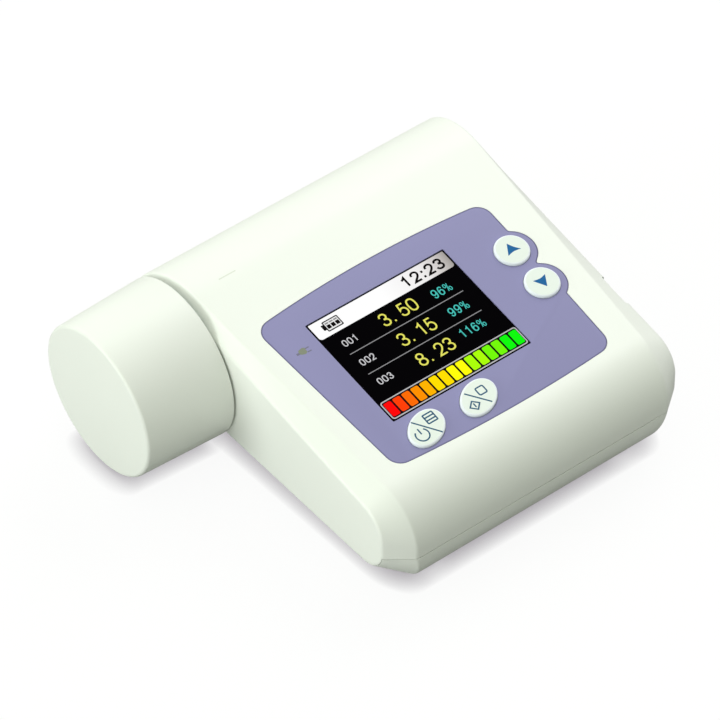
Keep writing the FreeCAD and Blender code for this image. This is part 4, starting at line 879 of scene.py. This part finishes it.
battery = {
    "left": -14.45, "right": -10.58, "low": 10.45, "high": 13.12, "line": 0.26, "corner": 0.25,
    "innerCorner": 0.1, "tip": 0.6, "tipLow": 11.1, "tipHigh": 12.5,
    "count": 3, "first": 0.42, "pitch": 1.08, "cell": 0.86, "cellSpan": (11.05, 12.0),
    "topSpan": (12.25, 12.6),
}
litPiece("batteryCase", framed(battery, battery["corner"]), inkBlack, level=2)
litPiece("batteryInside", framed(battery, battery["innerCorner"], battery["line"]), batteryPale, level=3)
litPiece("batteryTip", box(battery["left"] - battery["tip"], battery["tipLow"], battery["left"],
                           battery["tipHigh"]), inkBlack, level=2)
for number in range(battery["count"]):
    left = battery["left"] + battery["first"] + number * battery["pitch"]
    right = left + battery["cell"]
    for label, (low, high), ink in (("Cell", battery["cellSpan"], inkBlack),
                                    ("Top", battery["topSpan"], batteryGrey)):
        litPiece("battery%s%d" % (label, number), box(left, low, right, high), ink, level=4)

gauge = {"left": -16.79, "low": -13.2, "high": -9.62, "cell": 1.85, "pitch": 2.286, "count": 15,
         "corner": 0.38, "colourShift": 0.05}
border = {"left": -17.22, "right": 17.46, "low": -13.75, "high": -9.05, "line": 0.27, "corner": 0.6,
          "innerCorner": 0.4}
litPiece("gaugeFrame", framed(border, border["corner"]), frameGrey)
litPiece("gaugeField", framed(border, border["innerCorner"], border["line"]), inkBlack, level=1)


# Copies of a piece along a line or round the flow tube, by geometry nodes
def copiesTree(name, kind):
    group = bpy.data.node_groups.new(name, "GeometryNodeTree")
    sockets = {"Geometry": "NodeSocketGeometry", "Count": "NodeSocketInt", "Step": "NodeSocketVector",
               "Middle": "NodeSocketVector", "Finish": "NodeSocketMaterial"}
    for label, socketType in sockets.items():
        group.interface.new_socket(label, in_out="INPUT", socket_type=socketType)
    group.interface.new_socket("Geometry", in_out="OUTPUT", socket_type="NodeSocketGeometry")
    tree = Tree(group)
    given = tree.node("NodeGroupInput")
    step = given["Step"] if kind == "line" else (0, 0, 0)
    line = tree.node("GeometryNodeMeshLine", {}, {"Count": given["Count"], "Offset": step})["Mesh"]
    made = tree.node("GeometryNodeInstanceOnPoints", {}, {
        "Points": line, "Instance": given["Geometry"]})["Instances"]
    if kind == "turn":
        number = tree.node("GeometryNodeInputIndex")["Index"]
        turn = tree.node("ShaderNodeVectorMath", {"operation": "SCALE"}, {
            0: given["Step"], "Scale": number})["Vector"]
        made = tree.node("GeometryNodeRotateInstances", {}, {
            "Instances": made, "Rotation": turn, "Pivot Point": given["Middle"],
            "Local Space": False})["Instances"]
    real = tree.node("GeometryNodeRealizeInstances", {}, {"Geometry": made})["Geometry"]
    coated = tree.node("GeometryNodeSetMaterial", {}, {"Geometry": real, "Material": given["Finish"]})
    tree.node("NodeGroupOutput", {}, {"Geometry": coated["Geometry"]})
    return group


lineCopies = copiesTree("copiesAlongLine", "line")
turnCopies = copiesTree("copiesRoundTube", "turn")


def spread(piece, tree, inputs):
    modifier = piece.modifiers.new("copies", "NODES")
    modifier.node_group = tree
    names = {item.name: item.identifier for item in tree.interface.items_tree
             if item.item_type == "SOCKET" and item.in_out == "INPUT"}
    for label, value in inputs.items():
        modifier[names[label]] = value
    piece.update_tag()
    bpy.context.view_layer.update()
    settle(piece)
    return finish(piece, inputs["Finish"])


segment = slab("gaugeSegments", leaned(box(gauge["left"], gauge["low"], gauge["left"] + gauge["cell"],
                                           gauge["high"], gauge["corner"])), *litLevel(2))
spread(segment, lineCopies, {
    "Count": gauge["count"], "Step": (gauge["pitch"] * mm, 0, 0),
    "Finish": shownPaint("gaugeColours", gauge["left"] - gauge["colourShift"],
                         gauge["pitch"] * gauge["count"], [
        (0.0, (255, 8, 8)), (0.066, (255, 64, 8)), (0.133, (255, 108, 6)), (0.2, (255, 145, 0)),
        (0.266, (255, 180, 0)), (0.333, (255, 224, 0)), (0.466, (255, 254, 10)), (0.6, (170, 254, 10)),
        (0.733, (115, 250, 10)), (0.866, (14, 250, 14))], gauge["count"])})
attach(segment, "housing")
print("screen drawn")

# Keys: a soft-edged head with a printed face, retaining rim and stem; the head is lighter and bluer than
# the face, a painted highlight on its rounded rim
keyShape = {"rise": 0.6, "edge": 0.42, "edgeSteps": 6, "seat": 2.05, "rim": 0.6, "rimHeight": 0.6,
            "stem": 1.6, "stemEnd": 2.7, "faceLow": 0.5, "face": 0.606, "print": 0.618}


def keyPiece(name):
    key = keys[name]
    rings = []

    def ring(grow, level, size=key["half"]):
        outline = ellipse(size[0] + grow, size[1] + grow, key["tilt"])
        rings.append([(x + key["middle"][0], y + key["middle"][1], level) for x, y in outline])

    stem = (keyShape["stem"], keyShape["stem"])
    ring(0, -keyShape["stemEnd"], stem)
    ring(0, -keyShape["seat"] - keyShape["rimHeight"], stem)
    ring(keyShape["rim"], -keyShape["seat"] - keyShape["rimHeight"])
    ring(keyShape["rim"], -keyShape["seat"])
    ring(0, -keyShape["seat"])
    ring(0, 0)
    for step in range(keyShape["edgeSteps"] + 1):
        turn = math.pi / 2 * step / keyShape["edgeSteps"]
        ring(-keyShape["edge"] * (1 - math.cos(turn)),
             keyShape["rise"] - keyShape["edge"] * (1 - math.sin(turn)))
    piece = onPanel(stacked(name.replace("_b", "B"), rings, keyPlasticPaintedHighlight, angle=40))
    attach(piece, key["body"])
    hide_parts(name)
    face = slab(name.replace("_button", "Face"), keyOutline(name, -keyShape["edge"]), keyShape["faceLow"],
                keyShape["face"], keyFace)
    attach(face, key["body"])


for name in keys:
    keyPiece(name)


def keyPrint(piece, key):
    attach(piece, keys[key]["body"])


def keyLines(name, key, paths, width, ink):
    keyPrint(drawLines(name, paths, width, keyShape["faceLow"], keyShape["print"], ink,
                       keys[key]["middle"]), key)


def keyShapePrint(name, key, outline, ink):
    keyPrint(slab(name, moved(outline, *keys[key]["middle"]), keyShape["faceLow"], keyShape["print"], ink),
             key)


keyShapePrint("upArrow", "up_button", smooth([(-0.07, 1.75), (0.67, 0.33), (1.66, -0.86)])
              + smooth([(1.66, -0.86), (-0.1, -0.6), (-1.7, -0.92)])[1:], blueInk)
keyShapePrint("downArrow", "down_button", smooth([(-1.62, 1.14), (0.05, 0.86), (1.6, 1.18)])
              + [(0.08, -1.49)], blueInk)
iconLine = 0.31
powerArc = arc((-1.89, -1.03), 1.46, math.radians(48), math.radians(-228), 30)
keyLines("powerMarks", "power_button", [
    ([(-1.98, 2.6), (1.94, -2.69)], False), (powerArc, False), ([(-1.93, 0.64), (-1.93, -0.82)], False),
    (box(0.82, 0.37, 3.11, 2.6, 0.15), True), ([(0.82, 1.86), (3.11, 1.86)], False),
    ([(0.82, 1.1), (3.11, 1.1)], False)], iconLine, tealInk)
keyLines("startMarks", "start_button", [
    ([(-2.1, 2.1), (1.46, -2.46)], False), (box(0.39, 0.05, 2.24, 1.87, 0.3), True),
    ([(-3.23, -1.26), (-2.03, -0.16), (-0.83, -1.26), (-2.03, -2.41)], True),
    ([(-2.03, -0.72), (-2.03, -1.78)], False)], iconLine, tealInk)
print("keys made")

# Cap with its inner ribs
cap = {"rim": 17.9, "end": 17.15, "wall": 1.5, "edge": 0.8, "innerDraft": 0.35, "lip": 0.25,
       "innerLip": 0.2, "innerEdge": 0.6}
capOutline = rounded([
    (capEnd, 0, 0), (capEnd, cap["end"], cap["edge"]), (capRim, cap["rim"], cap["lip"]),
    (capRim, cap["rim"] - cap["wall"], cap["innerLip"]),
    (capEnd + cap["wall"], cap["end"] - cap["wall"] + cap["innerDraft"], cap["innerEdge"]),
    (capEnd + cap["wall"], 0, 0)], 6)
capPiece = turned("endCap", capOutline, capPlastic, steps=192)
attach(capPiece, "cap")
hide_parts("end_cap")

rib = {"count": 6, "width": 1.2, "start": 2.0, "length": 10.0, "foot": 15.36, "root": 16.3}
ribPiece = blockTool("capRibs", (capRim - rib["start"] - rib["length"], tubeY - rib["width"] / 2,
                                 tubeZ + rib["foot"]),
                     (capRim - rib["start"], tubeY + rib["width"] / 2, tubeZ + rib["root"]))
spread(ribPiece, turnCopies, {"Count": rib["count"], "Step": (2 * math.pi / rib["count"], 0, 0),
                              "Middle": (0, tubeY * mm, tubeZ * mm), "Finish": capPlastic})
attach(ribPiece, "cap")


# Materials of the parts that stay as packed
def metalPaint(name, base, rough):
    paint = Paint(name)
    grain = paint.noise(12.0)
    return paint.principled({
        "Base Color": paint.mixColour(grain, darker(base, 0.85), base),
        "Metallic": 1.0, "Roughness": rough + (grain - 0.5) * 0.2})


def boardPaint(name, low, high):
    paint = Paint(name)
    patch = paint.noise(0.5, detail=4.0)
    return paint.principled({"Base Color": paint.mixColour(patch, low, high), "Roughness": 0.4})


plain = {
    "housing_plastic": housingPlastic,
    "cap_plastic": capPlastic,
    "panel_film": lilacFilm,
    "button_plastic": keyPlasticPaintedHighlight,
    "lamp_plastic": lampOlive,
    "screen": screenBlack,
    "window": screenBlack,
    "inner_plastic": mouldedPlastic("innerPlastic", colour(186, 188, 186), rough=0.5),
    "clear_plastic": mouldedPlastic("clearPlastic", colour(214, 226, 226), rough=0.15, grain=3.0,
                                    depth=0.004),
    "swirler_plastic": mouldedPlastic("swirlerPlastic", colour(214, 218, 214), rough=0.4),
    "component": mouldedPlastic("component", colour(38, 38, 40), rough=0.5),
    "seal_rubber": mouldedPlastic("sealRubber", colour(32, 32, 34), rough=0.7),
    "vane": mouldedPlastic("vane", colour(30, 30, 32), rough=0.4),
    "infrared": mouldedPlastic("infraredLens", colour(24, 18, 34), rough=0.2),
    "jewel": mouldedPlastic("jewel", colour(170, 30, 60), rough=0.15),
    "steel": metalPaint("brightSteel", colour(190, 192, 196), rough=0.3),
    "screw_steel": metalPaint("screwSteel", colour(178, 180, 184), rough=0.35),
    "board": boardPaint("boardGreen", colour(12, 70, 40), colour(26, 104, 58)),
    "cell": printedInk("cellWrap", colour(60, 92, 140), rough=0.4),
}
slotOf = {row["node"]: row["material_slot"] for row in frame["record"]["subparts"]}
for node, piece in frame["nodes"].items():
    if not piece.material_slots:
        piece.data.materials.append(None)
    for place in piece.material_slots:
        place.material = plain[slotOf[node]]
print("materials given to the packed parts")

# Case screws with crossed slots, joined to one piece
screwWork = bmesh.new()
for x, y, seat in screws["places"]:
    low = seat - screws["height"]
    screw = upright("screw", x, y, [
        (screws["head"] - screws["edge"], low), (screws["head"], low + screws["edge"]),
        (screws["head"], seat), (screws["shank"], seat), (screws["shank"], screws["top"])])
    long, wide, deep = screws["slot"]
    carve(screw, [blockTool("slotTool", (x - a, y - b, low - 1), (x + a, y + b, low + deep))
                  for a, b in ((long, wide), (wide, long))])
    screwWork.from_mesh(screw.data)
    bpy.data.objects.remove(screw)
screwMesh = bpy.data.meshes.new("caseScrews")
screwWork.to_mesh(screwMesh)
screwWork.free()
screwPiece = bpy.data.objects.new("caseScrews", screwMesh)
scene.collection.objects.link(screwPiece)
finish(screwPiece, plain["screw_steel"])
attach(screwPiece, "housing")
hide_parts("case_screws")

# Charge lamp: a light pipe under a plug-shaped mark
pipe = slab("lightPipe", moved(ellipse(lamp["radius"], lamp["radius"], 0), *lamp["middle"]), lamp["low"],
            lamp["high"], lampOlive)
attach(pipe, "housing")
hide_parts("charge_light_pipe")
plug = [(-0.95, -0.35), (-0.95, 0.35), (-0.75, 0.6), (0.25, 0.8), (0.72, 0.6), (0.72, -0.55), (0.2, -0.85),
        (-0.6, -0.62)]
markPieces = [("chargeMark", rounded([(x, y, 0.12) for x, y in plug], 3), lampOlive)]
markPieces += [("chargeLead", box(-1.65, -0.35, -0.95, 0.18, 0.12), lampShade)]
markPieces += [("chargeProng%d" % number, box(0.72, y - 0.14, 1.65, y + 0.14, 0.05), lampShade)
               for number, y in enumerate((-0.66, 0.3))]
for name, outline, ink in markPieces:
    piece = slab(name, moved(outline, *lamp["middle"]), lamp["high"], lamp["mark"], ink)
    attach(piece, "housing")

# Short moulded mark on the hump: a thin strip just proud of the surface, whose darker colour is painted
# shade of the moulded groove
tick = {"left": -19.1, "right": -14.9, "turn": math.radians(6.3), "width": 0.3, "deep": 0.5, "rise": 0.004}
tickRings = []
for x in (tick["left"], tick["right"]):
    ring = []
    for side, down in ((-1, tick["deep"]), (-1, 0.0), (1, 0.0), (1, tick["deep"])):
        turn = tick["turn"] + side * tick["width"] / 2 / tubeZ
        radius = tubeZ - down + tick["rise"]
        ring.append((x, tubeY - radius * math.sin(turn), tubeZ + radius * math.cos(turn)))
    tickRings.append(ring)
tickPiece = stacked("tickMark", tickRings, mouldedPlastic("tickShade", colour(224, 227, 217)))
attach(tickPiece, "housing")

# Floor, world and lamps
floorMesh = bpy.data.meshes.new("floor")
floorHalf, floorDrop = 3.0, 0.2 * mm
floorCorners = [(x * floorHalf, y * floorHalf, 0) for x, y in ((-1, -1), (1, -1), (1, 1), (-1, 1))]
floorMesh.from_pydata(floorCorners, [], [(0, 1, 2, 3)])
floorPiece = bpy.data.objects.new("floor", floorMesh)
scene.collection.objects.link(floorPiece)
floorPiece.location.z = -floorDrop

studio = {
    "level": 0.56, "towards": (-0.2, 0.15, 0.26), "tint": (0.94, 1.0, 0.87),
    "shade": 0.08,           # share of the floor's light that a cast shadow takes away
    "bounce": 0.3,           # floor's own reflection towards the part
    # reach and colour of the painted contact shadow round the part's foot
    "contact": 4.2, "contactTone": (0.26, 0.23, 0.27, 1.0),
    "lamps": [
        {"name": "top", "place": (0.95, 0.45, 0.95), "size": 1.1, "power": 10.1,
         "colour": (1.0, 0.98, 1.04)},
        {"name": "left", "place": (-1.1, 0.15, 0.12), "size": 0.8, "power": 9.2,
         "colour": (0.95, 1.0, 0.97)},
    ],
}
floorPaint = Paint("floorPale")
direct = floorPaint.node("ShaderNodeLightPath")["Is Camera Ray"]
tone = direct * studio["shade"] + (1 - direct) * studio["bounce"]
# painted contact shadow: the floor's white is blended towards a dark tone where the part is close, by
# ambient occlusion
near = floorPaint.node("ShaderNodeAmbientOcclusion", {"samples": 16}, {
    "Distance": studio["contact"] * mm})["AO"]
paintedContactShadow = floorPaint.mixColour(near, studio["contactTone"], (1.0, 1.0, 1.0, 1.0))
grey = floorPaint.node("ShaderNodeCombineColor", {}, {0: tone, 1: tone, 2: tone})["Color"]
shader = floorPaint.node("ShaderNodeBsdfDiffuse", {}, {"Color": grey})["BSDF"]
lit = floorPaint.node("ShaderNodeEmission", {}, {
    "Color": paintedContactShadow, "Strength": direct * (1 - studio["shade"])})
both = floorPaint.node("ShaderNodeAddShader", {}, {0: shader, 1: lit["Emission"]})
floorMesh.materials.append(floorPaint.surface(both["Shader"]))

# seen straight or through the clear parts the world is white, and it lights the part with a soft side
sky = Paint("studio", world=True)
ray = sky.node("ShaderNodeLightPath")
seen = sky.node("ShaderNodeMath", {"operation": "MAXIMUM"}, {
    0: ray["Is Camera Ray"], 1: ray["Is Transmission Ray"]})["Value"]
side = sky.node("ShaderNodeVectorMath", {"operation": "DOT_PRODUCT"}, {
    0: sky.node("ShaderNodeTexCoord")["Generated"], 1: studio["towards"]})["Value"]
soft = sky.node("ShaderNodeBackground", {}, {
    "Color": (*studio["tint"], 1), "Strength": side + studio["level"]})
white = sky.node("ShaderNodeBackground", {}, {"Color": (1, 1, 1, 1)})
mixed = sky.node("ShaderNodeMixShader", {}, {0: seen, 1: soft["Background"], 2: white["Background"]})
scene.world = sky.surface(mixed["Shader"])

for source in studio["lamps"]:
    light = bpy.data.lights.new(source["name"], "AREA")
    light.energy = source["power"]
    light.size = source["size"]
    light.color = source["colour"]
    holder = bpy.data.objects.new(source["name"], light)
    scene.collection.objects.link(holder)
    holder.location = source["place"]
    holder.rotation_mode = "QUATERNION"
    holder.rotation_quaternion = (-holder.location).to_track_quat("-Z", "Y")

# Camera, from the fit to the photograph
lens = {"place": (-467.95, -597.15, 793.0), "right": (0.785, -0.6195, -0.005),
        "up": (0.4451, 0.5583, 0.7002), "focal": 268.19, "sensor": 36.0}
cameraData = bpy.data.cameras.new("camera")
cameraData.lens = lens["focal"]
cameraData.sensor_width = lens["sensor"]
cameraData.clip_start, cameraData.clip_end = 0.05, 20
camera = bpy.data.objects.new("camera", cameraData)
scene.collection.objects.link(camera)
right = Vector(lens["right"]).normalized()
back = right.cross(Vector(lens["up"])).normalized()
up = back.cross(right)
turn = Matrix((right, up, back)).transposed().to_4x4()
camera.matrix_world = Matrix.Translation(Vector(lens["place"]) * mm) @ turn
scene.camera = camera
print("stage set")
